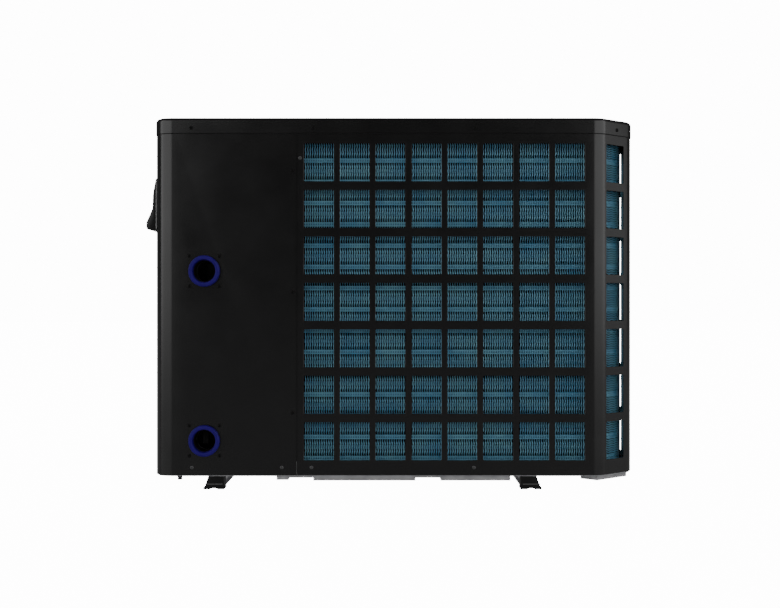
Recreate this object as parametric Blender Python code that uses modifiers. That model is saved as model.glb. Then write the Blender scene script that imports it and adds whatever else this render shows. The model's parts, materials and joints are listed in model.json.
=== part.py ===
"""Pool heat pump: an upright air-source unit in a folded steel casing.

The grille and the two water connections are on the back (+Y), the fan blows out of the
front (-Y), the water and electrics compartment is on the +X side and the finned coil wraps
round the -X side. Units are metres, +Z is up, and Z = 0 is the ground under the feet.
"""

import math

import bmesh
import bpy
from mathutils import Matrix, Vector

# Casing
HEIGHT = 0.8605
CASING_BOTTOM = 0.033
LEFT_X = -0.5723
RIGHT_X = 0.5459
FRONT_Y = -0.213
BACK_Y = 0.227
SHEET = 0.0012
GAP = 0.0003
BEND_R = 0.0425
FRONT_BEND_R = 0.020
CORNER_CUT = 0.0840
PANEL_TOP = 0.848
REAR_SEAM_X = 0.216
FRONT_SEAM_X = 0.200
SIDE_SEAM_Y = -0.178

# Lid
LID_BOTTOM = 0.824
LID_OVERHANG = 0.0015
LID_EDGE_R = 0.010

# Grille windows
WINDOW_ROWS = 7
WINDOW_TOP = 0.8003
WINDOW_HEIGHT = 0.0876
ROW_PITCH = 0.1075
BACK_COLUMNS = 8
BACK_WINDOW_WIDTH = 0.0688
BACK_COLUMN_PITCH = 0.08295
BACK_FIRST_EDGE = 0.1989
SIDE_WINDOW_WIDTH = 0.069
SIDE_WINDOW_EDGES = (0.1072, -0.0008, -0.0978)
FACET_WINDOW_WIDTH = 0.067
FACET_WINDOW_MIDDLE = 0.0545

# Base
PAN_BOTTOM = 0.0305
PAN_RIM = 0.026
PAN_INSET = 0.0035
TROUGH_BOTTOM = 0.0267
TROUGH_FLOOR = 0.0197
TROUGH_INSET = 0.003
TROUGH_OPENING = 0.004
CORNER_TROUGH = (0.115, 0.048)
CORNER_TROUGH_OFFSET = 0.026
TROUGH_FRONT = 0.150
TROUGH_BACK = 0.222
FOOT_HEIGHT = 0.0302
FOOT_WIDTH = 0.049
FOOT_LENGTH = 0.045
SERVICE_FOOT_X = 0.3832
COIL_FOOT_X = -0.3021

# Coil
COIL_FACE_Y = 0.203
COIL_FACE_X = -0.5527
COIL_DEPTH = 0.042
COIL_BEND_R = 0.110
COIL_END_X = 0.205
COIL_END_Y = -0.165
COIL_BOTTOM = 0.045
COIL_TOP = 0.812
END_PLATE = 0.0015

# Divider between the fan space and the service space
DIVIDER_X = 0.2082
DIVIDER_BACK = 0.152

# Fan
FAN_X = -0.182
FAN_Z = 0.430
FAN_HOLE_R = 0.283
SHROUD_THROAT_R = 0.272
SHROUD_DEPTH = 0.075
GUARD_R = 0.300
GUARD_DEPTH = 0.028
BLADES = 3
BLADE_R = 0.262
HUB_R = 0.050
HUB_FRONT = -0.188
HUB_BACK = -0.138
SHAFT_R = 0.006
MOTOR_FRONT = -0.125
MOTOR_BACK = -0.0333
MOTOR_R = 0.052
BRACKET_FRONT = -0.033
BRACKET_HALF = 0.060
BRACKET_DEPTH = 0.025

# Refrigerant circuit
COMPRESSOR = Vector((0.290, -0.020, 0.0))
COMPRESSOR_R = 0.060
COMPRESSOR_FOOT_Z = 0.0520
COMPRESSOR_TOP = 0.335
FOOT_BOLT_CIRCLE = 0.070
FOOT_PLATE_CORNER_R = 0.030
ACCUMULATOR = Vector((0.395, -0.075, 0.0))
ACCUMULATOR_R = 0.036
ACCUMULATOR_TOP = 0.300
VALVE_Y = -0.060
VALVE_Z = 0.450
VALVE_R = 0.013
VALVE_START = 0.292
VALVE_END = 0.398
EXPANSION = Vector((0.270, 0.110, 0.460))
HOT_PIPE_R = 0.0064
SUCTION_PIPE_R = 0.0080
LIQUID_PIPE_R = 0.0048

# Water circuit
WATER_X = 0.429
INLET_Z = 0.113
OUTLET_Z = 0.505
EXCHANGER = Vector((0.429, 0.095, 0.0))
EXCHANGER_R = 0.078
EXCHANGER_WALL = 0.006
EXCHANGER_BOTTOM = 0.0320
EXCHANGER_TOP = 0.560
BOSS_R = 0.034
BOSS_END = 0.180
TAILPIECE_R = 0.030
TAILPIECE_END = 0.229
PORT_R = 0.025
RING_R = 0.0362
RING_FACE = 0.241
RING_MOUTH_R = 0.0268
SWITCH_Y = 0.203
PADDLE_PIVOT_Z = INLET_Z + 0.0255

# Electrics and controls
BOX_LOW = Vector((0.222, -0.190, 0.640))
BOX_HIGH = Vector((0.528, 0.040, 0.800))
BOX_SHEET = 0.0015
CONTROL_X = 0.372
CONTROL_Z = 0.560
CONTROL_WIDTH = 0.200
CONTROL_HEIGHT = 0.124
CONTROL_FACE = FRONT_Y - 0.003
CONTROL_FLOOR = -0.206
COVER_THICKNESS = 0.0022
BUTTON_R = 0.006
BUTTON_PITCH = 0.034
BUTTON_NAMES = ("power", "mode", "up", "down")

# Side handle
HANDLE_NEAR_Y = 0.187
HANDLE_LENGTH = 0.130
HANDLE_BOTTOM = 0.6035
HANDLE_TOP = 0.7232

UP = Vector((0.0, 0.0, 1.0))
OUT_FRONT = Vector((0.0, -1.0, 0.0))
OUT_BACK = Vector((0.0, 1.0, 0.0))
OUT_SIDE = Vector((1.0, 0.0, 0.0))
UPRIGHT = (math.pi / 2, 0.0, 0.0)

FINISHES = {
    "casing_black": ((0.010, 0.010, 0.011), 0.42, 0.0),
    "galvanised": ((0.42, 0.43, 0.44), 0.45, 0.9),
    "grey_steel": ((0.19, 0.19, 0.20), 0.55, 0.3),
    "foot_rubber": ((0.006, 0.006, 0.006), 0.65, 0.0),
    "handle_plastic": ((0.008, 0.008, 0.008), 0.35, 0.0),
    "coil_blue": ((0.02, 0.17, 0.27), 0.40, 0.5),
    "fan_plastic": ((0.02, 0.02, 0.022), 0.45, 0.0),
    "guard_black": ((0.008, 0.008, 0.008), 0.35, 0.0),
    "motor_steel": ((0.10, 0.10, 0.11), 0.45, 0.5),
    "shaft_steel": ((0.55, 0.55, 0.56), 0.30, 1.0),
    "copper": ((0.72, 0.34, 0.20), 0.35, 1.0),
    "brass": ((0.70, 0.52, 0.24), 0.35, 1.0),
    "compressor_black": ((0.012, 0.012, 0.013), 0.35, 0.0),
    "titanium": ((0.42, 0.40, 0.38), 0.38, 1.0),
    "exchanger_grey": ((0.16, 0.17, 0.18), 0.40, 0.0),
    "ring_blue": ((0.008, 0.010, 0.160), 0.40, 0.0),
    "pipe_black": ((0.006, 0.006, 0.007), 0.45, 0.0),
    "board_green": ((0.01, 0.12, 0.05), 0.50, 0.0),
    "aluminium": ((0.70, 0.71, 0.72), 0.35, 1.0),
    "cream_plastic": ((0.60, 0.57, 0.48), 0.50, 0.0),
    "cover_smoke": ((0.02, 0.02, 0.02), 0.15, 0.0),
    "button_grey": ((0.25, 0.25, 0.26), 0.50, 0.0),
}


def clear_scene():
    """Remove every object the file starts with."""
    for item in list(bpy.data.objects):
        bpy.data.objects.remove(item, do_unlink=True)


def new_collection(name):
    """Add a collection to the scene."""
    collection = bpy.data.collections.new(name)
    bpy.context.scene.collection.children.link(collection)
    return collection


def finish_material(finish):
    """The Principled material of one finish, made the first time it is asked for."""
    material = bpy.data.materials.get(finish)
    if material:
        return material
    colour, roughness, metallic = FINISHES[finish]
    material = bpy.data.materials.new(finish)
    material.use_nodes = True
    shader = material.node_tree.nodes["Principled BSDF"]
    shader.inputs["Base Color"].default_value = (*colour, 1.0)
    shader.inputs["Roughness"].default_value = roughness
    shader.inputs["Metallic"].default_value = metallic
    return material


def add_object(name, data, finish, location=(0.0, 0.0, 0.0), rotation=(0.0, 0.0, 0.0)):
    """Link a part, or a hidden cutter when there is no finish."""
    item = bpy.data.objects.new(name, data)
    item.location = location
    item.rotation_euler = rotation
    if finish:
        PARTS.objects.link(item)
        data.materials.append(finish_material(finish))
    else:
        CUTTERS.objects.link(item)
        item.hide_render = True
        item.display_type = "WIRE"
    return item


def mesh_object(name, bm, finish, location=(0.0, 0.0, 0.0), rotation=(0.0, 0.0, 0.0)):
    """Turn a bmesh into an object."""
    mesh = bpy.data.meshes.new(name)
    bm.to_mesh(mesh)
    bm.free()
    return add_object(name, mesh, finish, location, rotation)


def facing(direction):
    """The rotation that points a piece's own +Z along a direction."""
    return Vector(direction).to_track_quat("Z", "Y").to_euler()


def add_modifier(item, kind, **settings):
    """Add a modifier and set its values."""
    modifier = item.modifiers.new(kind.title(), kind)
    for key, value in settings.items():
        setattr(modifier, key, value)
    return modifier


def cut(item, cutter):
    """Take the cutter's shape out of a part."""
    add_modifier(item, "BOOLEAN", operation="DIFFERENCE", object=cutter)


def join(item, other):
    """Fuse another shape into a part."""
    add_modifier(item, "BOOLEAN", operation="UNION", object=other)


def soften(item, width, segments=2):
    """Round a part's sharp edges."""
    add_modifier(item, "BEVEL", width=width, segments=segments, limit_method="ANGLE",
                 angle_limit=math.radians(40.0))


def fillet_path(corners, steps=6, closed=False):
    """Points along straight runs joined by arcs; each corner is a (point, radius) pair."""
    places = [Vector(point).to_3d() for point, _ in corners]
    path = []
    for index, (_, radius) in enumerate(corners):
        here = places[index]
        at_end = not closed and index in (0, len(corners) - 1)
        if at_end or radius == 0.0:
            path.append(here)
            continue
        before = (here - places[index - 1]).normalized()
        after = (places[(index + 1) % len(places)] - here).normalized()
        turn = before.angle(after)
        start = here - before * radius * math.tan(turn / 2)
        inward = (after - before * before.dot(after)).normalized()
        centre = start + inward * radius
        for step in range(steps + 1):
            angle = turn * step / steps
            path.append(centre - inward * radius * math.cos(angle) + before * radius * math.sin(angle))
    return path


def arc_points(radius, start, end, steps, centre=(0.0, 0.0)):
    """Points on an arc in a plane, with the angles in degrees."""
    angles = [math.radians(start + (end - start) * step / steps) for step in range(steps + 1)]
    return [(centre[0] + radius * math.cos(a), centre[1] + radius * math.sin(a)) for a in angles]


def block(name, low, high, finish):
    """A box between two corners, with its origin in the middle."""
    low, high = Vector(low), Vector(high)
    bm = bmesh.new()
    bmesh.ops.create_cube(bm, size=1.0, matrix=Matrix.Diagonal((*(high - low), 1.0)))
    return mesh_object(name, bm, finish, (low + high) / 2)


def blocks(name, boxes, finish=None):
    """Several separate boxes in one mesh, each a (centre, size, turn about Z) triple."""
    bm = bmesh.new()
    for centre, size, turn in boxes:
        spin = Matrix.Rotation(math.radians(turn), 4, "Z")
        shape = Matrix.Translation(centre) @ spin @ Matrix.Diagonal((*size, 1.0))
        bmesh.ops.create_cube(bm, size=1.0, matrix=shape)
    return mesh_object(name, bm, finish)


def box_between(low, high):
    """One entry for blocks(), from two corners."""
    low, high = Vector(low), Vector(high)
    return (low + high) / 2, high - low, 0.0


def rod(name, start, end, radius, finish, sides=24):
    """A round bar between two points, with its origin at the start."""
    start, end = Vector(start), Vector(end)
    length = (end - start).length
    bm = bmesh.new()
    bmesh.ops.create_cone(bm, cap_ends=True, segments=sides, radius1=radius, radius2=radius,
                          depth=length, matrix=Matrix.Translation((0.0, 0.0, length / 2)))
    return mesh_object(name, bm, finish, start, facing(end - start))


def turned(name, profile, finish, location, direction=UP, steps=24, ring=False):
    """A turned shape: (radius, height) points that run down the outer side."""
    bm = bmesh.new()
    points = [bm.verts.new((radius, 0.0, height)) for radius, height in profile]
    for first, second in zip(points, points[1:]):
        bm.edges.new((first, second))
    if ring:
        bm.edges.new((points[-1], points[0]))
    item = mesh_object(name, bm, finish, location, facing(direction))
    add_modifier(item, "SCREW", axis="Z", steps=steps, render_steps=steps,
                 use_merge_vertices=True, merge_threshold=0.00001)
    return item


def curve_object(name, curve, loops, cyclic, finish, location=(0.0, 0.0, 0.0), rotation=(0.0, 0.0, 0.0)):
    """A curve object with one straight-segment spline for each list of points."""
    for loop in loops:
        spline = curve.splines.new("POLY")
        spline.points.add(len(loop) - 1)
        spline.use_cyclic_u = cyclic
        for target, place in zip(spline.points, loop):
            target.co = (*Vector(place).to_3d(), 1.0)
    curve.render_resolution_u = 0
    return add_object(name, curve, finish, location, rotation)


def tube(name, points, radius, finish):
    """A solid round pipe along a path."""
    curve = bpy.data.curves.new(name, "CURVE")
    curve.dimensions = "3D"
    curve.bevel_depth = radius
    curve.bevel_resolution = 2
    curve.use_fill_caps = True
    return curve_object(name, curve, [points], False, finish)


def as_mesh(item, finish=None):
    """Replace a curve by a closed mesh that can be cut or joined."""
    evaluated = item.evaluated_get(bpy.context.evaluated_depsgraph_get())
    mesh = bpy.data.meshes.new_from_object(evaluated)
    mesh.materials.clear()
    bm = bmesh.new()
    bm.from_mesh(mesh)
    bmesh.ops.remove_doubles(bm, verts=bm.verts, dist=0.00001)
    bmesh.ops.recalc_face_normals(bm, faces=bm.faces)
    bm.to_mesh(mesh)
    bm.free()
    name, location, rotation = item.name, item.location.copy(), item.rotation_euler.copy()
    bpy.data.objects.remove(item, do_unlink=True)
    return add_object(name, mesh, finish, location, rotation)


def outline_solid(name, loops, thickness, finish, location, rotation=(0.0, 0.0, 0.0)):
    """A plate of one or more flat outlines, thickened both ways from its own XY plane."""
    curve = bpy.data.curves.new(name, "CURVE")
    curve.dimensions = "2D"
    curve.fill_mode = "BOTH"
    curve.extrude = thickness / 2
    item = curve_object(name, curve, loops, True, None, location, rotation)
    return as_mesh(item, finish)


def bent_sheet(name, plan, bottom, top, thickness, finish):
    """A sheet that follows a plan path and stands from bottom to top, outer face on the path."""
    bm = bmesh.new()
    base = [bm.verts.new((place[0], place[1], bottom)) for place in plan]
    edges = [bm.edges.new(pair) for pair in zip(base, base[1:])]
    raised = bmesh.ops.extrude_edge_only(bm, edges=edges)["geom"]
    moved = [part for part in raised if isinstance(part, bmesh.types.BMVert)]
    bmesh.ops.translate(bm, verts=moved, vec=(0.0, 0.0, top - bottom))
    run = base[1].co - base[0].co
    first = next(face for face in bm.faces if base[0] in face.verts)
    first.normal_update()
    if first.normal.dot(run.cross(UP)) < 0.0:
        bmesh.ops.reverse_faces(bm, faces=bm.faces)
    item = mesh_object(name, bm, finish)
    add_modifier(item, "SOLIDIFY", thickness=thickness, offset=-1.0, use_even_offset=True)
    return item


def tray(name, plan, rim, plate_z, thickness, finish, edge_r=0.0):
    """A flat plate at plate_z with a rim that runs to rim, up or down, open on that side."""
    bm = bmesh.new()
    plate = bm.faces.new([bm.verts.new((place[0], place[1], plate_z)) for place in plan])
    raised = bmesh.ops.extrude_edge_only(bm, edges=list(plate.edges))["geom"]
    moved = [part for part in raised if isinstance(part, bmesh.types.BMVert)]
    bmesh.ops.translate(bm, verts=moved, vec=(0.0, 0.0, rim - plate_z))
    bmesh.ops.recalc_face_normals(bm, faces=bm.faces)
    plate.normal_update()
    if plate.normal.z * (plate_z - rim) < 0.0:
        bmesh.ops.reverse_faces(bm, faces=bm.faces)
    item = mesh_object(name, bm, finish)
    if edge_r:
        soften(item, edge_r, 3)
    add_modifier(item, "SOLIDIFY", thickness=thickness, offset=-1.0, use_even_offset=True)
    return item


def casing_corner(name, offset=0.0):
    """One corner of the casing's plan as a (point, bend radius) pair, moved out by offset."""
    left, right = LEFT_X - offset, RIGHT_X + offset
    front, back = FRONT_Y - offset, BACK_Y + offset
    corner_cut = CORNER_CUT + (2.0 - math.sqrt(2.0)) * offset
    corners = {
        "front_left": ((left, front), FRONT_BEND_R + offset),
        "front_right": ((right, front), FRONT_BEND_R + offset),
        "back_right": ((right, back), BEND_R + offset),
        "back_left": ((left + corner_cut, back), BEND_R + offset),
        "left_back": ((left, back - corner_cut), BEND_R + offset),
    }
    return corners[name]


def casing_plan(offset=0.0):
    """The whole casing's closed outline, counter-clockwise from above."""
    names = ("front_left", "front_right", "back_right", "back_left", "left_back")
    return fillet_path([casing_corner(name, offset) for name in names], closed=True)


def window_height_centre(row):
    """The middle height of a row of windows."""
    return WINDOW_TOP - WINDOW_HEIGHT / 2 - ROW_PITCH * row


def grille_cutter():
    """Every window of the wrapped grille: the back, the angled corner and the side."""
    deep = 0.020
    facet_start = Vector((LEFT_X + CORNER_CUT, BACK_Y, 0.0))
    facet_middle = facet_start - Vector((1.0, 1.0, 0.0)).normalized() * FACET_WINDOW_MIDDLE
    boxes = []
    for row in range(WINDOW_ROWS):
        height = window_height_centre(row)
        for column in range(BACK_COLUMNS):
            x = BACK_FIRST_EDGE - BACK_WINDOW_WIDTH / 2 - BACK_COLUMN_PITCH * column
            boxes.append(((x, BACK_Y, height), (BACK_WINDOW_WIDTH, deep, WINDOW_HEIGHT), 0.0))
        facet = (facet_middle.x, facet_middle.y, height)
        boxes.append((facet, (FACET_WINDOW_WIDTH, deep, WINDOW_HEIGHT), 45.0))
        for edge in SIDE_WINDOW_EDGES:
            place = (LEFT_X, edge - SIDE_WINDOW_WIDTH / 2, height)
            boxes.append((place, (deep, SIDE_WINDOW_WIDTH, WINDOW_HEIGHT), 0.0))
    return blocks("grille_windows", boxes)


def make_rear_coil_panel():
    """The grille panel: back, 45 degree corner and coil side in one bent sheet.

    Its service edge is joggled inwards and tucks behind the service panel.
    """
    tuck_y = BACK_Y - SHEET - 2 * GAP
    plan = [
        ((REAR_SEAM_X + 0.024, tuck_y), 0.0),
        ((REAR_SEAM_X - 0.0004, tuck_y), 0.0),
        ((REAR_SEAM_X - 0.0012, BACK_Y), 0.0),
        casing_corner("back_left"),
        casing_corner("left_back"),
        ((LEFT_X, SIDE_SEAM_Y + GAP), 0.0),
    ]
    panel = bent_sheet("rear_coil_panel", fillet_path(plan), CASING_BOTTOM, PANEL_TOP, SHEET,
                       "casing_black")
    cut(panel, grille_cutter())


def make_service_side_panel():
    """The water-side panel: side wall, round bend and plain part of the back."""
    plan = [
        ((RIGHT_X, SIDE_SEAM_Y + GAP), 0.0),
        casing_corner("back_right"),
        ((REAR_SEAM_X, BACK_Y), 0.0),
    ]
    panel = bent_sheet("service_side_panel", fillet_path(plan), CASING_BOTTOM, PANEL_TOP, SHEET,
                       "casing_black")
    for name, height in (("inlet_hole", INLET_Z), ("outlet_hole", OUTLET_Z)):
        hole = rod(name, (WATER_X, BACK_Y - 0.01, height), (WATER_X, BACK_Y + 0.01, height),
                   TAILPIECE_R + 0.0008, None, 32)
        cut(panel, hole)
    cut(panel, rod("gland_hole", (RIGHT_X - 0.01, -0.100, 0.160), (RIGHT_X + 0.01, -0.100, 0.160),
                   0.0108, None))


def make_front_panels():
    """The fan panel with its round opening, and the small service panel beside it."""
    fan_plan = [((LEFT_X, SIDE_SEAM_Y), 0.0), casing_corner("front_left"),
                ((FRONT_SEAM_X, FRONT_Y), 0.0)]
    fan_panel = bent_sheet("front_fan_panel", fillet_path(fan_plan), CASING_BOTTOM, PANEL_TOP, SHEET,
                           "casing_black")
    cut(fan_panel, rod("fan_opening", (FAN_X, FRONT_Y - 0.01, FAN_Z), (FAN_X, FRONT_Y + 0.01, FAN_Z),
                       FAN_HOLE_R, None, 48))
    plan = [((FRONT_SEAM_X + 2 * GAP, FRONT_Y), 0.0), casing_corner("front_right"),
            ((RIGHT_X, SIDE_SEAM_Y), 0.0)]
    panel = bent_sheet("front_service_panel", fillet_path(plan), CASING_BOTTOM, PANEL_TOP, SHEET,
                       "casing_black")
    size = (CONTROL_WIDTH - 0.010, 0.02, CONTROL_HEIGHT - 0.010)
    cut(panel, blocks("control_opening", [((CONTROL_X, FRONT_Y, CONTROL_Z), size, 0.0)]))


def make_lid():
    """The shallow lid, whose skirt hangs over the tops of the panels."""
    tray("top_lid", casing_plan(LID_OVERHANG), LID_BOTTOM, HEIGHT, SHEET, "casing_black", LID_EDGE_R)


def make_divider():
    """The upright sheet between the fan space and the service space."""
    block("divider_panel", (DIVIDER_X - SHEET, FRONT_Y + 0.0052, PAN_BOTTOM + 0.0016),
          (DIVIDER_X, DIVIDER_BACK, 0.820), "galvanised")


def trough_space(low, high):
    """The room inside a trough: its box drawn in by the sheet and open at the top."""
    wall = Vector((SHEET, SHEET, SHEET))
    return Vector(low) + wall, Vector(high) + Vector((-SHEET, -SHEET, TROUGH_OPENING))


def make_base_pan():
    """The drawn base: a tray whose troughs under the coil carry the condensate away."""
    pan = tray("base_pan", casing_plan(-PAN_INSET), PAN_BOTTOM + PAN_RIM, PAN_BOTTOM, SHEET, "grey_steel")
    plate_middle = PAN_BOTTOM + SHEET / 2
    shallow = ((-0.117, TROUGH_FRONT, TROUGH_BOTTOM), (0.235, TROUGH_BACK, plate_middle))
    front, back = TROUGH_FRONT + TROUGH_INSET, TROUGH_BACK - TROUGH_INSET
    deep = [
        ((-0.059, front, TROUGH_FLOOR), (0.178, back, TROUGH_BOTTOM + SHEET / 2)),
        ((-0.279, front, TROUGH_FLOOR), (-0.1173, back, plate_middle)),
        ((0.2353, front, TROUGH_FLOOR + 0.0015), (0.263, back, plate_middle)),
    ]
    corner_x = LEFT_X + CORNER_CUT / 2 + CORNER_TROUGH_OFFSET
    corner_y = BACK_Y - CORNER_CUT / 2 - CORNER_TROUGH_OFFSET
    long, wide = CORNER_TROUGH
    outer_height = plate_middle - TROUGH_FLOOR
    inner_height = outer_height - SHEET + TROUGH_OPENING
    corner_outer = ((corner_x, corner_y, TROUGH_FLOOR + outer_height / 2),
                    (long, wide, outer_height), 45.0)
    corner_inner = ((corner_x, corner_y, TROUGH_FLOOR + SHEET + inner_height / 2),
                    (long - 2 * SHEET, wide - 2 * SHEET, inner_height), 45.0)
    join(pan, blocks("shallow_trough", [box_between(*shallow)]))
    join(pan, blocks("deep_troughs", [box_between(*pair) for pair in deep] + [corner_outer]))
    cut(pan, blocks("shallow_space", [box_between(*trough_space(*shallow))]))
    cut(pan, blocks("deep_spaces", [box_between(*trough_space(*pair)) for pair in deep] + [corner_inner]))


def foot_outline(side):
    """The end outline of a foot; side is +1 where the outer edge leans towards +X."""
    width = FOOT_WIDTH
    arch = [(width / 2 - 0.008, 0.0), (width / 2 - 0.006, 0.002), (width / 2 + 0.006, 0.002),
            (width / 2 + 0.008, 0.0)]
    points = [(0.0, 0.0), *arch, (width, 0.0), (width, 0.005), (width - 0.004, 0.0065),
              (width - 0.0115, FOOT_HEIGHT), (0.0015, FOOT_HEIGHT), (0.0015, 0.0065), (0.0, 0.005)]
    return [(side * x, z) for x, z in points]


def rail_outline(side):
    """The end outline of a foot rail: a hat section of 2 mm sheet with an inner lip."""
    thick = 0.002
    width = FOOT_WIDTH - 0.006
    outer = [(0.000, 0.004), (0.000, 0.004 + thick), (0.008, 0.004 + thick), (0.008, FOOT_HEIGHT),
             (width - 0.010, FOOT_HEIGHT), (width - 0.004, 0.004 + thick), (width, 0.004 + thick),
             (width, 0.004)]
    inner = [(width - 0.006, 0.004), (width - 0.012, FOOT_HEIGHT - thick), (0.010, FOOT_HEIGHT - thick),
             (0.010, 0.004)]
    return [(side * x, z) for x, z in outer + inner]


def make_feet():
    """Two pressed rails under the pan, with a moulded foot on each end."""
    rows = (("service", SERVICE_FOOT_X, 1.0), ("coil", COIL_FOOT_X, -1.0))
    rear_y = BACK_Y - SHEET - GAP
    front_y = FRONT_Y + SHEET + GAP
    for place, x, side in rows:
        for end, low_y in (("rear", rear_y - FOOT_LENGTH), ("front", front_y)):
            foot = outline_solid(f"rubber_foot_{place}_{end}", [foot_outline(side)], FOOT_LENGTH,
                                 "foot_rubber", (x, low_y + FOOT_LENGTH / 2, 0.0), UPRIGHT)
            soften(foot, 0.0008, 1)
        rail_length = rear_y - front_y - 2 * FOOT_LENGTH - 2 * GAP
        outline_solid(f"foot_rail_{place}", [rail_outline(side)], rail_length, "grey_steel",
                      (x + side * 0.002, (rear_y + front_y) / 2, 0.0), UPRIGHT)


def make_drain_nipple():
    """The condensate drain under the service side of the pan."""
    profile = [(0.0105, 0.0), (0.0105, -0.003), (0.0055, -0.0035), (0.0055, -0.0115), (0.0040, -0.0115),
               (0.0040, 0.0)]
    turned("drain_nipple", profile, "pipe_black", (0.491, 0.190, PAN_BOTTOM - GAP), steps=20, ring=True)


def make_coil():
    """The finned coil as one bent slab, with its two end plates."""
    plan = [((COIL_END_X, COIL_FACE_Y), 0.0), ((COIL_FACE_X, COIL_FACE_Y), COIL_BEND_R),
            ((COIL_FACE_X, COIL_END_Y), 0.0)]
    bent_sheet("evaporator_coil", fillet_path(plan, 8), COIL_BOTTOM, COIL_TOP, COIL_DEPTH, "coil_blue")
    plate_x = COIL_END_X + GAP
    block("coil_end_plate_service", (plate_x, COIL_FACE_Y - COIL_DEPTH - 0.003, COIL_BOTTOM - 0.009),
          (plate_x + END_PLATE, COIL_FACE_Y + 0.008, COIL_TOP + 0.004), "galvanised")
    plate_y = COIL_END_Y - GAP
    block("coil_end_plate_front", (COIL_FACE_X - 0.008, plate_y - END_PLATE, COIL_BOTTOM - 0.009),
          (COIL_FACE_X + COIL_DEPTH + 0.004, plate_y, COIL_TOP + 0.004), "galvanised")


def make_fan_shroud():
    """The bell-mouth ring behind the fan panel."""
    lip, throat = FAN_HOLE_R + 0.010, SHROUD_THROAT_R
    wall = 0.002
    profile = [
        (lip, 0.0), (lip, -wall), (throat + wall + 0.004, -wall - 0.004), (throat + wall, -0.016),
        (throat + wall, -SHROUD_DEPTH), (throat, -SHROUD_DEPTH), (throat, -0.014), (throat + 0.004, 0.0),
    ]
    turned("fan_shroud", profile, "fan_plastic", (FAN_X, FRONT_Y + SHEET + GAP, FAN_Z), OUT_FRONT, 36,
           True)


def guard_slots():
    """Ring-shaped slots between the guard's bars, in six sectors."""
    slots = []
    inner, outer, rings, sectors = 0.060, 0.276, 3, 6
    pitch = (outer - inner) / rings
    for ring in range(rings):
        low, high = inner + pitch * ring, inner + pitch * (ring + 1) - 0.005
        for sector in range(sectors):
            start, end = 360 / sectors * sector, 360 / sectors * (sector + 1)
            inset_low, inset_high = math.degrees(0.005 / low), math.degrees(0.005 / high)
            far = arc_points(high, start + inset_high, end - inset_high, 4)
            near = arc_points(low, end - inset_low, start + inset_low, 4)
            slots.append(far + near)
    return slots


def make_fan_guard():
    """The dished finger guard over the fan opening."""
    front, skin = GUARD_DEPTH, 0.0025
    profile = [
        (0.0, front), (GUARD_R - 0.018, front), (GUARD_R - 0.004, front - 0.012), (GUARD_R, GAP),
        (GUARD_R - 0.004, GAP), (GUARD_R - 0.007, front - 0.013), (GUARD_R - 0.020, front - skin),
        (0.0, front - skin),
    ]
    guard = turned("fan_guard", profile, "guard_black", (FAN_X, FRONT_Y, FAN_Z), OUT_FRONT, 32)
    slots = outline_solid("guard_slots", guard_slots(), 0.020, None,
                          (FAN_X, FRONT_Y - GUARD_DEPTH, FAN_Z), UPRIGHT)
    cut(guard, slots)


def make_blades(name):
    """Swept fan blades on one mesh, running into the hub."""
    radial, around = 4, 5
    root_r = HUB_R - 0.006
    bm = bmesh.new()
    for blade in range(BLADES):
        grid = bmesh.ops.create_grid(bm, x_segments=radial, y_segments=around, size=0.5)["verts"]
        for vertex in grid:
            out, along = vertex.co.x + 0.5, vertex.co.y
            radius = root_r + (BLADE_R - root_r) * out
            span = math.radians(62.0 + 22.0 * out)
            sweep = math.radians(18.0) * out
            angle = 2 * math.pi * blade / BLADES + span * along + sweep
            depth = HUB_BACK - 0.006 + (HUB_FRONT - HUB_BACK + 0.012) * (along + 0.5)
            vertex.co = (radius * math.cos(angle), depth, radius * math.sin(angle))
    item = mesh_object(name, bm, None, (FAN_X, 0.0, FAN_Z))
    add_modifier(item, "SOLIDIFY", thickness=0.003, offset=0.0)
    return item


def make_fan():
    """The impeller, its shaft and nut, all turning about one axis along Y."""
    height = HUB_BACK - HUB_FRONT
    profile = [(0.0, height), (HUB_R - 0.006, height), (HUB_R, height - 0.006), (HUB_R, 0.0), (0.0, 0.0)]
    hub = turned("fan_impeller", profile, "fan_plastic", (FAN_X, HUB_BACK, FAN_Z), OUT_FRONT, 30)
    join(hub, make_blades("blades"))
    cut(hub, rod("shaft_bore", (FAN_X, HUB_BACK + 0.01, FAN_Z), (FAN_X, HUB_FRONT - 0.01, FAN_Z),
                 SHAFT_R + GAP, None, 20))
    rod("fan_shaft", (FAN_X, MOTOR_FRONT - GAP, FAN_Z), (FAN_X, HUB_FRONT - 0.012, FAN_Z), SHAFT_R,
        "shaft_steel", 20)
    nut_profile = [(0.0, 0.009), (0.0115, 0.009), (0.0115, 0.0), (0.0, 0.0)]
    nut = turned("fan_nut", nut_profile, "shaft_steel", (FAN_X, HUB_FRONT - GAP, FAN_Z), OUT_FRONT, 6)
    cut(nut, rod("nut_bore", (FAN_X, HUB_FRONT + 0.01, FAN_Z), (FAN_X, HUB_FRONT - 0.02, FAN_Z),
                 SHAFT_R + GAP, None, 20))


def make_fan_motor():
    """The fan motor on its upright bracket."""
    depth = MOTOR_BACK - MOTOR_FRONT
    profile = [(0.0, depth), (0.020, depth), (0.022, depth - 0.006), (MOTOR_R - 0.006, depth - 0.010),
               (MOTOR_R, depth - 0.018), (MOTOR_R, 0.010), (MOTOR_R - 0.005, 0.0), (0.0, 0.0)]
    turned("fan_motor", profile, "motor_steel", (FAN_X, MOTOR_BACK, FAN_Z), OUT_FRONT, 28)
    left, right = FAN_X - BRACKET_HALF, FAN_X + BRACKET_HALF
    back = BRACKET_FRONT + BRACKET_DEPTH
    plan = [((left, back), 0.0), ((left, BRACKET_FRONT), 0.004), ((right, BRACKET_FRONT), 0.004),
            ((right, back), 0.0)]
    bent_sheet("fan_motor_bracket", fillet_path(plan, 2), PAN_BOTTOM + 0.0016, 0.815, 0.0018,
               "galvanised")


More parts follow.
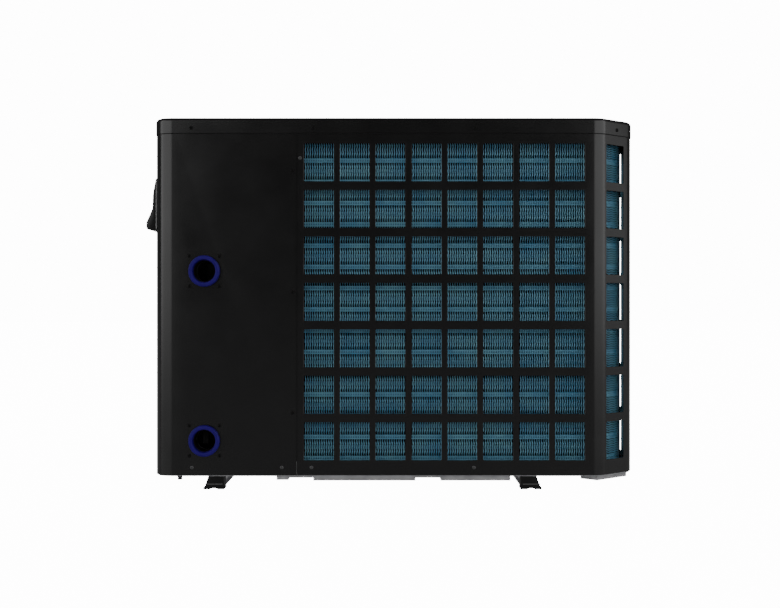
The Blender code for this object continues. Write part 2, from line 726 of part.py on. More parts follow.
def grommet_places():
    """The three points of the compressor's foot plate."""
    angles = [math.radians(90 + 120 * index) for index in range(3)]
    return [COMPRESSOR + Vector((math.cos(a), math.sin(a), 0.0)) * FOOT_BOLT_CIRCLE for a in angles]


def make_compressor():
    """The compressor on three rubber grommets, with its terminal cover and accumulator."""
    base, top = COMPRESSOR_FOOT_Z, COMPRESSOR_TOP
    profile = [(0.0, top), (0.030, top - 0.004), (0.050, top - 0.014), (COMPRESSOR_R, top - 0.032),
               (COMPRESSOR_R, base + 0.018), (0.052, base + 0.006), (0.040, base), (0.0, base)]
    shell = turned("compressor_shell", profile, "compressor_black", COMPRESSOR, steps=28)
    reach = FOOT_BOLT_CIRCLE + 0.016 + FOOT_PLATE_CORNER_R
    angles = [math.radians(90 + 120 * index) for index in range(3)]
    corners = [((reach * math.cos(a), reach * math.sin(a)), FOOT_PLATE_CORNER_R) for a in angles]
    foot_plate = outline_solid("compressor_foot_plate", [fillet_path(corners, 6, True)], 0.003, None,
                               COMPRESSOR + UP * (base + 0.0025))
    join(shell, foot_plate)
    grommet_bottom = PAN_BOTTOM + SHEET + GAP
    grommet_height = base + 0.001 - GAP - grommet_bottom
    grommet = [(0.010, grommet_height), (0.0085, grommet_height / 2), (0.011, 0.0), (0.004, 0.0),
               (0.004, grommet_height)]
    for index, place in enumerate(grommet_places(), 1):
        turned(f"compressor_grommet_{index}", grommet, "foot_rubber", place + UP * grommet_bottom,
               steps=12, ring=True)
    block("compressor_terminal_cover", COMPRESSOR + Vector((-0.052, 0.012, top + GAP)),
          COMPRESSOR + Vector((-0.012, 0.050, top + 0.034)), "compressor_black")
    make_accumulator()


def make_accumulator():
    """The suction accumulator, with the short elbow that feeds the compressor."""
    profile = [(0.0, ACCUMULATOR_TOP), (0.012, ACCUMULATOR_TOP - 0.002),
               (ACCUMULATOR_R, ACCUMULATOR_TOP - 0.022), (ACCUMULATOR_R, 0.122), (0.012, 0.102),
               (0.0, 0.100)]
    accumulator = turned("suction_accumulator", profile, "compressor_black", ACCUMULATOR, steps=20)
    towards = (COMPRESSOR - ACCUMULATOR).normalized()
    entry = COMPRESSOR - towards * (COMPRESSOR_R + 0.0005) + UP * 0.085
    path = fillet_path([(ACCUMULATOR + UP * 0.115, 0.0), (ACCUMULATOR + UP * 0.085, 0.014), (entry, 0.0)])
    join(accumulator, as_mesh(tube("suction_elbow", path, 0.0075, None)))


def make_valves():
    """The reversing valve with its solenoid, and the expansion valve."""
    length = VALVE_END - VALVE_START
    profile = [(0.0, length), (0.009, length), (VALVE_R, length - 0.005), (VALVE_R, 0.005), (0.009, 0.0),
               (0.0, 0.0)]
    turned("reversing_valve", profile, "brass", (VALVE_START, VALVE_Y, VALVE_Z), OUT_SIDE, 20)
    front = VALVE_Y - VALVE_R - GAP
    solenoid = block("reversing_valve_solenoid", (0.328, front - 0.030, VALVE_Z - 0.018),
                     (0.362, front, VALVE_Z + 0.018), "pipe_black")
    soften(solenoid, 0.004)
    profile = [(0.0, 0.082), (0.018, 0.082), (0.021, 0.079), (0.021, 0.048), (0.018, 0.045),
               (0.010, 0.043), (0.012, 0.034), (0.012, 0.004), (0.008, 0.0), (0.0, 0.0)]
    turned("expansion_valve", profile, "brass", EXPANSION, steps=20)


def make_pipes():
    """The copper pipes of the refrigerant circuit."""
    over = VALVE_Z + 0.100
    under = VALVE_Z - VALVE_R - GAP
    middle = (VALVE_START + VALVE_END) / 2
    compressor_out = COMPRESSOR + UP * (COMPRESSOR_TOP + GAP)
    accumulator_in = ACCUMULATOR + UP * (ACCUMULATOR_TOP + GAP)
    header = Vector((0.232, 0.178, 0.0))
    gas_port = EXCHANGER + Vector((0.026, 0.0, EXCHANGER_TOP + GAP))
    liquid_port = EXCHANGER + Vector((-0.026, 0.0, EXCHANGER_TOP + GAP))
    expansion_side = EXPANSION + Vector((0.012 + 2 * GAP, 0.0, 0.020))
    routes = {
        "discharge_pipe": (HOT_PIPE_R, [
            compressor_out, (COMPRESSOR.x, COMPRESSOR.y, over), (middle, VALVE_Y, over),
            (middle, VALVE_Y, VALVE_Z + VALVE_R + GAP)]),
        "suction_pipe": (SUCTION_PIPE_R, [
            (middle, VALVE_Y, under), (middle, VALVE_Y, 0.372), (ACCUMULATOR.x, ACCUMULATOR.y, 0.372),
            accumulator_in]),
        "coil_gas_pipe": (SUCTION_PIPE_R, [
            (VALVE_START + 0.016, VALVE_Y, under), (VALVE_START + 0.016, VALVE_Y, 0.385),
            (0.240, VALVE_Y, 0.385), header + UP * 0.385, header + UP * 0.740]),
        "exchanger_gas_pipe": (SUCTION_PIPE_R, [
            (VALVE_END - 0.016, VALVE_Y, under), (VALVE_END - 0.016, VALVE_Y, 0.395),
            (gas_port.x, VALVE_Y, 0.395), (gas_port.x, VALVE_Y, 0.606), gas_port + UP * 0.0457,
            gas_port]),
        "liquid_pipe": (LIQUID_PIPE_R, [
            liquid_port, liquid_port + UP * 0.030, (0.330, EXPANSION.y, liquid_port.z + 0.030),
            (0.330, EXPANSION.y, expansion_side.z), expansion_side]),
        "coil_liquid_pipe": (LIQUID_PIPE_R, [
            EXPANSION - UP * GAP, (EXPANSION.x, EXPANSION.y, 0.200), (0.240, 0.165, 0.200),
            (COIL_END_X + END_PLATE + 3 * GAP, 0.165, 0.200)]),
    }
    for name, (radius, places) in routes.items():
        bend = 2.2 * radius
        tube(name, fillet_path([(place, bend) for place in places], 3), radius, "copper")


def make_exchanger():
    """The upright water vessel with its titanium coil and two moulded bosses."""
    base, top = EXCHANGER_BOTTOM, EXCHANGER_TOP
    profile = [(0.0, top), (0.055, top), (EXCHANGER_R - 0.006, top - 0.012), (EXCHANGER_R, top - 0.030),
               (EXCHANGER_R, base + 0.006), (EXCHANGER_R - 0.004, base), (0.0, base)]
    shell = turned("exchanger_shell", profile, "exchanger_grey", EXCHANGER, steps=24)
    for height in (INLET_Z, OUTLET_Z):
        start, end = (WATER_X, EXCHANGER.y + 0.040, height), (WATER_X, BOSS_END, height)
        join(shell, rod("boss", start, end, BOSS_R, None, 32))
    inner = EXCHANGER_R - EXCHANGER_WALL
    space = [(0.0, top - 0.010), (0.055, top - 0.010), (inner, top - 0.034), (inner, base + 0.012),
             (0.0, base + 0.012)]
    cut(shell, turned("water_space", space, None, EXCHANGER, steps=24))
    for height in (INLET_Z, OUTLET_Z):
        start, end = (WATER_X, EXCHANGER.y + 0.030, height), (WATER_X, BOSS_END + 0.01, height)
        cut(shell, rod("port", start, end, PORT_R, None, 32))
    turns, per_turn, helix_r = 6, 10, 0.050
    low, high = 0.150, 0.465
    points = []
    for step in range(turns * per_turn + 1):
        angle = 2 * math.pi * step / per_turn
        height = low + (high - low) * step / (turns * per_turn)
        points.append(EXCHANGER + Vector((helix_r * math.cos(angle), helix_r * math.sin(angle), height)))
    tube("titanium_coil", points, 0.008, "titanium")


def make_water_connections():
    """Each water connection: a tailpiece through the back and its blue screwed ring."""
    for name, height in (("water_inlet", INLET_Z), ("water_outlet", OUTLET_Z)):
        start = BOSS_END + GAP
        length = TAILPIECE_END - start
        profile = [(TAILPIECE_R, length), (TAILPIECE_R, 0.0), (PORT_R, 0.0), (PORT_R, length)]
        tailpiece = turned(f"{name}_tailpiece", profile, "pipe_black", (WATER_X, start, height),
                           OUT_BACK, 32, True)
        if name == "water_inlet":
            top = height + TAILPIECE_R
            slot = box_between((WATER_X - 0.008, SWITCH_Y - 0.007, height + 0.015),
                               (WATER_X + 0.008, SWITCH_Y + 0.007, top + 0.005))
            cut(tailpiece, blocks("paddle_slot", [slot]))
        depth = RING_FACE - BACK_Y
        shoulder = TAILPIECE_END + GAP - BACK_Y
        ring = [(RING_R - 0.0025, depth), (RING_R, depth - 0.0025), (RING_R, GAP),
                (TAILPIECE_R + 0.0006, GAP), (TAILPIECE_R + 0.0006, shoulder),
                (PORT_R + 0.0002, shoulder), (RING_MOUTH_R, depth)]
        turned(f"{name}_ring", ring, "ring_blue", (WATER_X, BACK_Y, height), OUT_BACK, 28, True)


def make_flow_switch():
    """The flow switch on the inlet: its housing, and the paddle that hangs in the water."""
    top = INLET_Z + TAILPIECE_R
    body = block("flow_switch_body", (WATER_X - 0.018, SWITCH_Y - 0.020, top + GAP),
                 (WATER_X + 0.018, SWITCH_Y + 0.0205, top + 0.045), "cream_plastic")
    soften(body, 0.003)
    bm = bmesh.new()
    low, high = -0.034, 0.0035
    size = Matrix.Diagonal((0.012, 0.0016, high - low, 1.0))
    shape = Matrix.Translation((0.0, 0.0, (low + high) / 2)) @ size
    bmesh.ops.create_cube(bm, size=1.0, matrix=shape)
    mesh_object("flow_switch_paddle", bm, "pipe_black", (WATER_X, SWITCH_Y, PADDLE_PIVOT_Z))


def make_electrical_box():
    """The sheet box for the electronics, with its cover, board and terminals."""
    low, high, wall = BOX_LOW, BOX_HIGH, BOX_SHEET
    box = block("electrical_box", low, high, "galvanised")
    inside = box_between(low + Vector((wall, wall, wall)), high + Vector((-wall, -wall, 0.01)))
    cut(box, blocks("box_space", [inside]))
    left, right, front, back = low.x - 0.002, high.x + 0.002, low.y - 0.002, high.y + 0.002
    plan = [(left, front), (right, front), (right, back), (left, back)]
    tray("electrical_box_cover", plan, high.z - 0.010, high.z + 0.0020, wall, "galvanised")
    board_z = low.z + 0.014
    board = block("inverter_board", (low.x + 0.012, low.y + 0.012, board_z),
                  (high.x - 0.090, high.y - 0.012, board_z + 0.002), "board_green")
    lumps = [
        ((0.250, -0.150, board_z + 0.018), (0.030, 0.030, 0.0345), 0.0),
        ((0.290, -0.150, board_z + 0.018), (0.030, 0.030, 0.0345), 0.0),
        ((0.262, -0.060, board_z + 0.014), (0.040, 0.050, 0.0265), 0.0),
        ((0.340, -0.100, board_z + 0.016), (0.036, 0.036, 0.0305), 0.0),
        ((0.370, -0.010, board_z + 0.010), (0.060, 0.020, 0.0185), 0.0),
    ]
    join(board, blocks("board_components", lumps))
    terminals = block("terminal_block", (0.455, -0.150, low.z + wall + GAP),
                      (0.485, -0.020, low.z + 0.030), "cream_plastic")
    slots = [((0.470, -0.137 + 0.0208 * index, low.z + 0.026), (0.022, 0.014, 0.012), 0.0)
             for index in range(6)]
    cut(terminals, blocks("terminal_slots", slots))


def make_heat_sink():
    """The power electronics' heat sink, in the air stream on the divider's fan side."""
    base = DIVIDER_X - SHEET - GAP
    sink = block("heat_sink", (base - 0.006, -0.150, 0.650), (base, 0.010, 0.780), "aluminium")
    fins = [((base - 0.0245, -0.146 + 0.0152 * index, 0.715), (0.040, 0.002, 0.130), 0.0)
            for index in range(11)]
    join(sink, blocks("sink_fins", fins))


def make_control_panel():
    """The recessed control panel in the front, its flap and its four buttons."""
    half_width, half_height = CONTROL_WIDTH / 2, CONTROL_HEIGHT / 2
    back_face = CONTROL_FLOOR + 0.004
    panel = block("control_panel", (CONTROL_X - half_width, CONTROL_FACE, CONTROL_Z - half_height),
                  (CONTROL_X + half_width, FRONT_Y - GAP, CONTROL_Z + half_height), "handle_plastic")
    wide, high = half_width - 0.0055, half_height - 0.0055
    tub = box_between((CONTROL_X - wide, FRONT_Y - 0.0015, CONTROL_Z - high),
                      (CONTROL_X + wide, back_face, CONTROL_Z + high))
    join(panel, blocks("control_tub", [tub]))
    wide, high = half_width - 0.008, half_height - 0.008
    pocket = box_between((CONTROL_X - wide, CONTROL_FACE - 0.01, CONTROL_Z - high),
                         (CONTROL_X + wide, CONTROL_FLOOR, CONTROL_Z + high))
    cut(panel, blocks("control_pocket", [pocket]))
    button_z = CONTROL_Z - half_height + 0.028
    button_front = CONTROL_FLOOR - 0.0035
    for index, label in enumerate(BUTTON_NAMES):
        x = CONTROL_X + BUTTON_PITCH * (index - 1.5)
        cut(panel, rod("button_hole", (x, CONTROL_FLOOR - 0.01, button_z),
                       (x, back_face + 0.01, button_z), BUTTON_R + GAP, None, 20))
        length = back_face - 0.0005 - button_front
        cap = [(0.0, length), (BUTTON_R - 0.0012, length), (BUTTON_R, length - 0.0012),
               (BUTTON_R, 0.0), (0.0, 0.0)]
        turned(f"button_{label}", cap, "button_grey", (x, button_front + length, button_z), OUT_FRONT, 20)
    make_control_cover(half_width - 0.0088, half_height - 0.0088)


def make_control_cover(half_width, half_height):
    """The see-through flap over the controls, hinged along its top edge."""
    hinge_z = CONTROL_Z + half_height - 0.0015
    hinge_y = CONTROL_FACE + COVER_THICKNESS / 2
    bm = bmesh.new()
    top, bottom = 0.0015, -2 * half_height + 0.0015
    shape = Matrix.Translation((0.0, 0.0, (top + bottom) / 2)) @ Matrix.Diagonal(
        (2 * half_width, COVER_THICKNESS, top - bottom, 1.0))
    bmesh.ops.create_cube(bm, size=1.0, matrix=shape)
    cover = mesh_object("control_cover", bm, "cover_smoke", (CONTROL_X, hinge_y, hinge_z))
    lip_z = hinge_z + bottom + 0.004
    lip = box_between((CONTROL_X - 0.018, CONTROL_FACE - 0.004, lip_z - 0.0015),
                      (CONTROL_X + 0.018, CONTROL_FACE + 0.001, lip_z + 0.0015))
    join(cover, blocks("finger_lip", [lip]))


def make_handle():
    """The hooded lifting handle on the service side, gripped from below."""
    outer = [(0.0003, HANDLE_TOP), (0.0018, HANDLE_TOP), (0.0056, 0.7076), (0.0094, 0.6842),
             (0.0101, 0.6725), (0.0102, 0.6584), (0.0170, 0.6373), (0.0246, 0.6210),
             (0.0249, 0.6116), (0.0238, 0.6060), (0.0215, HANDLE_BOTTOM), (0.0003, HANDLE_BOTTOM)]
    inner = [(0.0040, 0.690), (0.0064, 0.684), (0.0070, 0.672), (0.0072, 0.657), (0.0140, 0.636),
             (0.0212, 0.620), (0.0216, 0.611), (0.0216, HANDLE_BOTTOM - 0.01),
             (0.0040, HANDLE_BOTTOM - 0.01)]
    middle = (RIGHT_X, HANDLE_NEAR_Y - HANDLE_LENGTH / 2, 0.0)
    handle = outline_solid("side_handle", [outer], HANDLE_LENGTH, "handle_plastic", middle, UPRIGHT)
    hollow = outline_solid("handle_hollow", [inner], HANDLE_LENGTH - 0.008, None, middle, UPRIGHT)
    cut(handle, hollow)


def make_cable_gland():
    """The entry for the supply cable, low on the service side."""
    profile = [(0.0085, 0.016), (0.0125, 0.013), (0.0135, GAP), (0.0105, GAP), (0.0105, -0.010),
               (0.0065, -0.010), (0.0065, 0.016)]
    turned("cable_gland", profile, "pipe_black", (RIGHT_X, -0.100, 0.160), OUT_SIDE, 20, True)


clear_scene()
PARTS = new_collection("heat_pump_unit")
CUTTERS = new_collection("cutters")
make_base_pan()
make_feet()
make_drain_nipple()
make_service_side_panel()
make_rear_coil_panel()
make_front_panels()
make_lid()
make_divider()
make_handle()
make_cable_gland()
make_coil()
make_fan_shroud()
make_fan_guard()
make_fan()
make_fan_motor()
make_compressor()
make_valves()
make_pipes()
make_exchanger()
make_water_connections()
make_flow_switch()
make_electrical_box()
make_heat_sink()
make_control_panel()
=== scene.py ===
"""Looks of the pool heat pump: panels, coil, fan, controls, light and camera round the CAD frame."""

import json
import math

import bmesh
import bpy
from mathutils import Matrix, Vector


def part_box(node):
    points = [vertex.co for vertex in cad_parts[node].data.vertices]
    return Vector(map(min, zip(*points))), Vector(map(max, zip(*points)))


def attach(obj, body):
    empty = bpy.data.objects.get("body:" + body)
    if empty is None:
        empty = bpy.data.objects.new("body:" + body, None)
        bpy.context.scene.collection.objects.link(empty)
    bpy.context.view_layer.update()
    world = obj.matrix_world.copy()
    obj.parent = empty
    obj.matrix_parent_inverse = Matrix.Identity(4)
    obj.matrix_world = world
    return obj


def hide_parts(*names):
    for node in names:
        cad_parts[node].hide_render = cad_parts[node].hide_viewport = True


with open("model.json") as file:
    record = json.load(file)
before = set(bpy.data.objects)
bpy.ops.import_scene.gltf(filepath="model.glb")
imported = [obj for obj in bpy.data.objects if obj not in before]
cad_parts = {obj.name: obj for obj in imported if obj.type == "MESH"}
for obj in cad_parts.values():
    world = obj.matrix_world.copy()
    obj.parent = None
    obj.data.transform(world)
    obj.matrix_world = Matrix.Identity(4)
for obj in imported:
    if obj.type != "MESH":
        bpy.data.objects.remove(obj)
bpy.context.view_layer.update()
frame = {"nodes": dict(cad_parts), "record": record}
nodes = frame["nodes"]

# The casing's own design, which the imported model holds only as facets
SHEET = 0.0012
GAP = 0.0003
BEND_R = 0.0425
FRONT_BEND_R = 0.020
CORNER_CUT = 0.0840
LID_OVERHANG = 0.0015
LID_EDGE_R = 0.010
WINDOW_ROWS = 7
WINDOW_TOP = 0.8003
WINDOW_HEIGHT = 0.0876
ROW_PITCH = 0.1075
BACK_COLUMNS = 8
BACK_WINDOW_WIDTH = 0.0688
BACK_COLUMN_PITCH = 0.08295
BACK_FIRST_EDGE = 0.1989
SIDE_WINDOW_WIDTH = 0.069
SIDE_WINDOW_EDGES = (0.1072, -0.0008, -0.0978)
WINDOW_CUT_DEPTH = 0.020
FACET_WINDOW_WIDTH = 0.067
FACET_WINDOW_MIDDLE = 0.0545
WINDOW_CORNER_R = 0.0018
RIM_CHAMFER = 0.0006
FAN_HOLE_R = 0.283
GLAND_HOLE_R = 0.0108
COIL_BEND_R = 0.110
BEND_SEEN = 1.15
COIL_DEPTH = 0.042
TUBE_R = 0.0050
TUBE_LOWEST = 0.0699
TUBE_PITCH = 0.04957
TUBE_COUNT = 15
FIN_PITCH = 0.00545
FIN_EDGE = 0.0018
FIN_WEB = 0.0004
FIN_SWAY = 0.0006
LOUVRE_PITCH = 0.00545
LOUVRE_SIZE = (0.0030, 0.0050, 0.0023)
LOUVRE_STEPS = (0.0, 0.30, 0.60, 0.30)
RETURN_REACH = 0.013
FIN_FRONT_DEPTH = 0.0130
FIN_SHADOW_SHEET_DEPTH = 0.0190
# How a fin's edge swells and sways with height above or below a tube
FIN_SHAPE = ((0.0, 1.0, 1.0), (0.0045, 0.75, 0.2), (0.0090, 0.60, -1.0), (0.0120, 0.95, -0.4),
             (0.0145, 1.50, 0.5), (0.0180, 1.0, 1.0), (0.0248, 1.15, -1.0))


def middle_of(name):
    """The middle of a node's box."""
    low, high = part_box(name)
    return (low + high) / 2


# Places read from the frame
COIL_PANEL_LOW, COIL_PANEL_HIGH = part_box("rear_coil_panel")
SERVICE_PANEL_LOW, SERVICE_PANEL_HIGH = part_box("service_side_panel")
FAN_PANEL_LOW, FAN_PANEL_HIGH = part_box("front_fan_panel")
LEFT_X, RIGHT_X = COIL_PANEL_LOW.x, SERVICE_PANEL_HIGH.x
FRONT_Y, BACK_Y = FAN_PANEL_LOW.y, COIL_PANEL_HIGH.y
CASING_BOTTOM, PANEL_TOP = COIL_PANEL_LOW.z, COIL_PANEL_HIGH.z
LID_BOTTOM, HEIGHT = (corner.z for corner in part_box("top_lid"))
REAR_SEAM_X, FRONT_SEAM_X = SERVICE_PANEL_LOW.x, FAN_PANEL_HIGH.x
SIDE_SEAM_Y = FAN_PANEL_HIGH.y
COIL_LOW, COIL_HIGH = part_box("evaporator_coil")
GUARD_LOW, GUARD_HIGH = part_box("fan_guard")
FAN_X, _, FAN_Z = middle_of("fan_guard")
GUARD_R = (GUARD_HIGH.x - GUARD_LOW.x) / 2
COIL_STRAIGHT = COIL_HIGH.x - (COIL_LOW.x + COIL_BEND_R)
COIL_ARC = COIL_BEND_R * math.pi / 2
COIL_LENGTH = COIL_STRAIGHT + COIL_ARC + (COIL_HIGH.y - COIL_BEND_R - COIL_LOW.y)
RING_LOW, RING_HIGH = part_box("water_outlet_ring")
WATER_X, _, OUTLET_Z = middle_of("water_outlet_ring")
INLET_Z = middle_of("water_inlet_ring").z
CONTROL_LOW, CONTROL_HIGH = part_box("control_panel")
HANDLE_LOW, HANDLE_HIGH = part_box("side_handle")

# Studio light: a wall is (lowest heading, highest heading) or (lowest heading, brightness)
WHITE = 14.0
SOFT_WALL = (0.010, 0.976)
WEAK_WALL = (-0.22, 0.43)
SOFT_WALL_LIGHT = 1.75
FLOOR_SHARE = 0.09
FLOOR_GLOW = 0.18
ROOM_GLOW = 0.11
HIGH_LAMP = 24.0
WALL_BLUR = 0.02
WALL_TOP_SPAN = (0.80, 0.45)
EDGE_LIFT = 0.30
EDGE_LIFT_SPAN = (0.40, 0.05)
HORIZON_SPAN = (-0.055, 0.015)
FAR_HEADING = 0.85
FAR_DIP = 6.0

UP = Vector((0.0, 0.0, 1.0))
OUT_FRONT = Vector((0.0, -1.0, 0.0))
OUT_BACK = Vector((0.0, 1.0, 0.0))
OUT_SIDE = Vector((1.0, 0.0, 0.0))
SMOOTH_ANGLE = math.radians(32.0)
QUARTER = math.pi / 2
NOISE_SPAN = (0.30, 0.70)


# -------- materials


def set_inputs(node, **values):
    """Set a shader node's inputs; an underscore stands for the space in a socket's name."""
    for socket, value in values.items():
        node.inputs[socket.replace("_", " ")].default_value = value
    return node


def rgba(colour):
    """A colour's four channels; one number is a grey."""
    return (*(colour if isinstance(colour, tuple) else (colour,) * 3), 1.0)


class Finish:
    """One procedural material, built up step by step on its Principled shader."""

    def __init__(self, name, colour, roughness, metallic=0.0, **sockets):
        """The plain material; a colour given as one number is a grey."""
        self.material = bpy.data.materials.new(name)
        self.material.use_nodes = True
        self.tree = self.material.node_tree
        self.shader = self.tree.nodes["Principled BSDF"]
        set_inputs(self.shader, Base_Color=rgba(colour), Roughness=roughness, Metallic=metallic,
                   **sockets)
        self.place = self.tree.nodes.new("ShaderNodeTexCoord").outputs["Object"]

    def node(self, kind, **values):
        """A new shader node with these input values."""
        return set_inputs(self.tree.nodes.new(f"ShaderNode{kind}"), **values)

    def noise(self, scale, detail, stretch=(1.0, 1.0, 1.0)):
        """A noise value across the surface."""
        mapping = self.node("Mapping", Scale=stretch)
        self.tree.links.new(self.place, mapping.inputs["Vector"])
        texture = self.node("TexNoise", Scale=scale, Detail=detail)
        self.tree.links.new(mapping.outputs["Vector"], texture.inputs["Vector"])
        return texture.outputs["Fac"]

    def mottle(self, dark, light, scale, stretch=(1.0, 1.0, 1.0)):
        """Vary the colour between two tones."""
        ramp = self.node("ValToRGB")
        for element, tone, position in zip(ramp.color_ramp.elements, (dark, light), NOISE_SPAN):
            element.color = rgba(tone)
            element.position = position
        self.tree.links.new(self.noise(scale, 3.0, stretch), ramp.inputs["Fac"])
        self.tree.links.new(ramp.outputs["Color"], self.shader.inputs["Base Color"])
        return self

    def roughen(self, low, high, scale, stretch=(1.0, 1.0, 1.0)):
        """Vary the roughness between two values."""
        least, most = NOISE_SPAN
        span = self.node("MapRange", From_Min=least, From_Max=most, To_Min=low, To_Max=high)
        self.tree.links.new(self.noise(scale, 2.0, stretch), span.inputs["Value"])
        self.tree.links.new(span.outputs["Result"], self.shader.inputs["Roughness"])
        return self

    def emboss(self, scale, strength, distance):
        """Add fine relief."""
        bump = self.node("Bump", Strength=strength, Distance=distance)
        self.tree.links.new(self.noise(scale, 2.0), bump.inputs["Height"])
        self.tree.links.new(bump.outputs["Normal"], self.shader.inputs["Normal"])
        return self


# Every material of the record, by its slot name
FINISHES = {
    "casing_black": Finish("powder_coat", (0.0024, 0.0024, 0.0025), 0.20)
    .mottle((0.0021, 0.0021, 0.0022), (0.0027, 0.0027, 0.0028), 3.0)
    .roughen(0.18, 0.22, 14.0).emboss(900.0, 0.05, 0.0001),
    "galvanised": Finish("zinc_coat", (0.42, 0.43, 0.44), 0.42, 0.85)
    .mottle((0.33, 0.34, 0.35), (0.50, 0.51, 0.52), 55.0).roughen(0.34, 0.52, 70.0),
    "grey_steel": Finish("pan_zinc", (0.30, 0.30, 0.31), 0.50, 0.30)
    .mottle((0.24, 0.24, 0.25), (0.34, 0.34, 0.35), 40.0).roughen(0.42, 0.60, 30.0),
    "foot_rubber": Finish("foot_rubber", 0.003, 0.50, Specular_IOR_Level=0.15)
    .roughen(0.45, 0.62, 40.0).emboss(700.0, 0.15, 0.0003),
    "handle_plastic": Finish("grained_plastic", 0.0018, 0.26, Specular_IOR_Level=0.35)
    .roughen(0.22, 0.30, 30.0).emboss(900.0, 0.12, 0.0001),
    "coil_blue": Finish("coated_fin", (0.115, 0.33, 0.45), 0.36, 0.20)
    .mottle((0.09, 0.28, 0.43), (0.15, 0.37, 0.46), 18.0).roughen(0.30, 0.42, 45.0),
    "fan_plastic": Finish("fan_plastic", (0.018, 0.018, 0.019), 0.42)
    .roughen(0.36, 0.50, 20.0).emboss(600.0, 0.12, 0.0003),
    "guard_black": Finish("guard_coat", 0.010, 0.34, Coat_Weight=0.15)
    .roughen(0.28, 0.40, 25.0),
    "motor_steel": Finish("motor_paint", (0.09, 0.09, 0.10), 0.42, 0.4)
    .roughen(0.36, 0.52, 35.0).emboss(300.0, 0.12, 0.0004),
    "shaft_steel": Finish("turned_steel", (0.55, 0.55, 0.56), 0.28, 1.0)
    .roughen(0.20, 0.36, 220.0, stretch=(1.0, 6.0, 1.0)),
    "copper": Finish("drawn_copper", (0.72, 0.34, 0.20), 0.32, 1.0)
    .mottle((0.58, 0.25, 0.14), (0.80, 0.42, 0.27), 26.0).roughen(0.24, 0.42, 50.0),
    "brass": Finish("machined_brass", (0.70, 0.52, 0.24), 0.30, 1.0).roughen(0.24, 0.38, 60.0),
    "compressor_black": Finish("vessel_paint", (0.012, 0.012, 0.013), 0.28, Coat_Weight=0.3)
    .roughen(0.22, 0.36, 16.0).emboss(160.0, 0.12, 0.0005),
    "titanium": Finish("titanium_tube", (0.42, 0.40, 0.38), 0.34, 1.0).roughen(0.28, 0.42, 40.0),
    "exchanger_grey": Finish("vessel_plastic", (0.16, 0.17, 0.18), 0.36).roughen(0.30, 0.44, 24.0),
    "ring_blue": Finish("ring_blue", (0.0110, 0.0002, 0.120), 0.45, Specular_IOR_Level=0.15)
    .mottle((0.0095, 0.0002, 0.110), (0.0125, 0.0003, 0.132), 60.0).roughen(0.40, 0.50, 90.0),
    "pipe_black": Finish("pipe_plastic", (0.006, 0.006, 0.007), 0.45).roughen(0.40, 0.52, 40.0),
    "board_green": Finish("circuit_board", (0.01, 0.12, 0.05), 0.40)
    .mottle((0.008, 0.085, 0.035), (0.014, 0.145, 0.060), 120.0, stretch=(1.0, 0.2, 1.0)),
    "aluminium": Finish("extruded_aluminium", (0.70, 0.71, 0.72), 0.32, 1.0)
    .roughen(0.24, 0.42, 150.0, stretch=(1.0, 1.0, 0.05)),
    "cream_plastic": Finish("cream_plastic", (0.60, 0.57, 0.48), 0.46).roughen(0.40, 0.54, 40.0),
    "cover_smoke": Finish("smoked_clear", (0.16, 0.17, 0.18), 0.08, Transmission_Weight=0.9,
                          IOR=1.49)
    .roughen(0.06, 0.12, 30.0),
    "button_grey": Finish("soft_key", (0.20, 0.20, 0.21), 0.55).emboss(900.0, 0.15, 0.0002),
}
# Looks of single pieces and nodes
GLASS = Finish("display_glass", (0.010, 0.012, 0.014), 0.06, Coat_Weight=0.6).roughen(0.04, 0.09, 12.0)
SEGMENT = Finish("display_segment", (0.055, 0.065, 0.060), 0.25).roughen(0.22, 0.30, 60.0)
SCREW_GREY = Finish("screw_zinc", (0.055, 0.055, 0.057), 0.45, 0.4).roughen(0.40, 0.55, 160.0)
SCREW_BLACK = Finish("screw_black", 0.0015, 0.7, Specular_IOR_Level=0.2)
SCREW_BLACK.roughen(0.65, 0.80, 160.0)
# Painted shadow for the coil: a near-black blue for the shade between and behind the fins
PAINTED_FIN_SHADOW = Finish("fin_shadow", (0.0010, 0.0030, 0.0045), 0.9, Specular_IOR_Level=0.1)
PAINTED_FIN_SHADOW.mottle((0.0008, 0.0024, 0.0035), (0.0014, 0.0040, 0.0060), 60.0)
# Painted shade on the coil tubes: the fins' blue coating, darker on the front row and darker still on the
# rear row
SHADED_FRONT_TUBE = Finish("coated_tube_in_shade", (0.040, 0.135, 0.215), 0.42, 0.2)
SHADED_FRONT_TUBE.mottle((0.033, 0.115, 0.190), (0.050, 0.155, 0.240), 30.0).roughen(0.36, 0.50, 60.0)
SHADED_REAR_TUBE = Finish("shaded_tube", (0.018, 0.085, 0.150), 0.6)
SHADED_REAR_TUBE.mottle((0.015, 0.072, 0.130), (0.023, 0.100, 0.170), 30.0)
# A grey gasket whose light grey also paints the highlight along the handle's edge
GASKET_AND_HIGHLIGHT = Finish("gasket_grey_and_highlight", 0.30, 0.6).roughen(0.52, 0.68, 90.0)
# Painted light: a lighter grey for the light showing through the bottom of the rear seam
SEAM_GAP_LIGHT = Finish("seam_gap_light", 0.10, 0.5, 0.3).roughen(0.42, 0.60, 90.0)
RAIL = Finish("rail_zinc", (0.55, 0.55, 0.56), 0.45, 0.20)
RAIL.mottle((0.48, 0.48, 0.49), (0.60, 0.60, 0.61), 40.0).roughen(0.38, 0.55, 30.0)
NODE_FINISHES = {"foot_rail_service": RAIL, "foot_rail_coil": RAIL, "flow_switch_paddle": SCREW_BLACK}
# Painted highlight: a lighter rubber tone for the light caught by the raised band on each foot
FOOT_BAND_HIGHLIGHT = Finish("foot_band_highlight", 0.035, 0.5).roughen(0.42, 0.60, 60.0)


# -------- geometry helpers


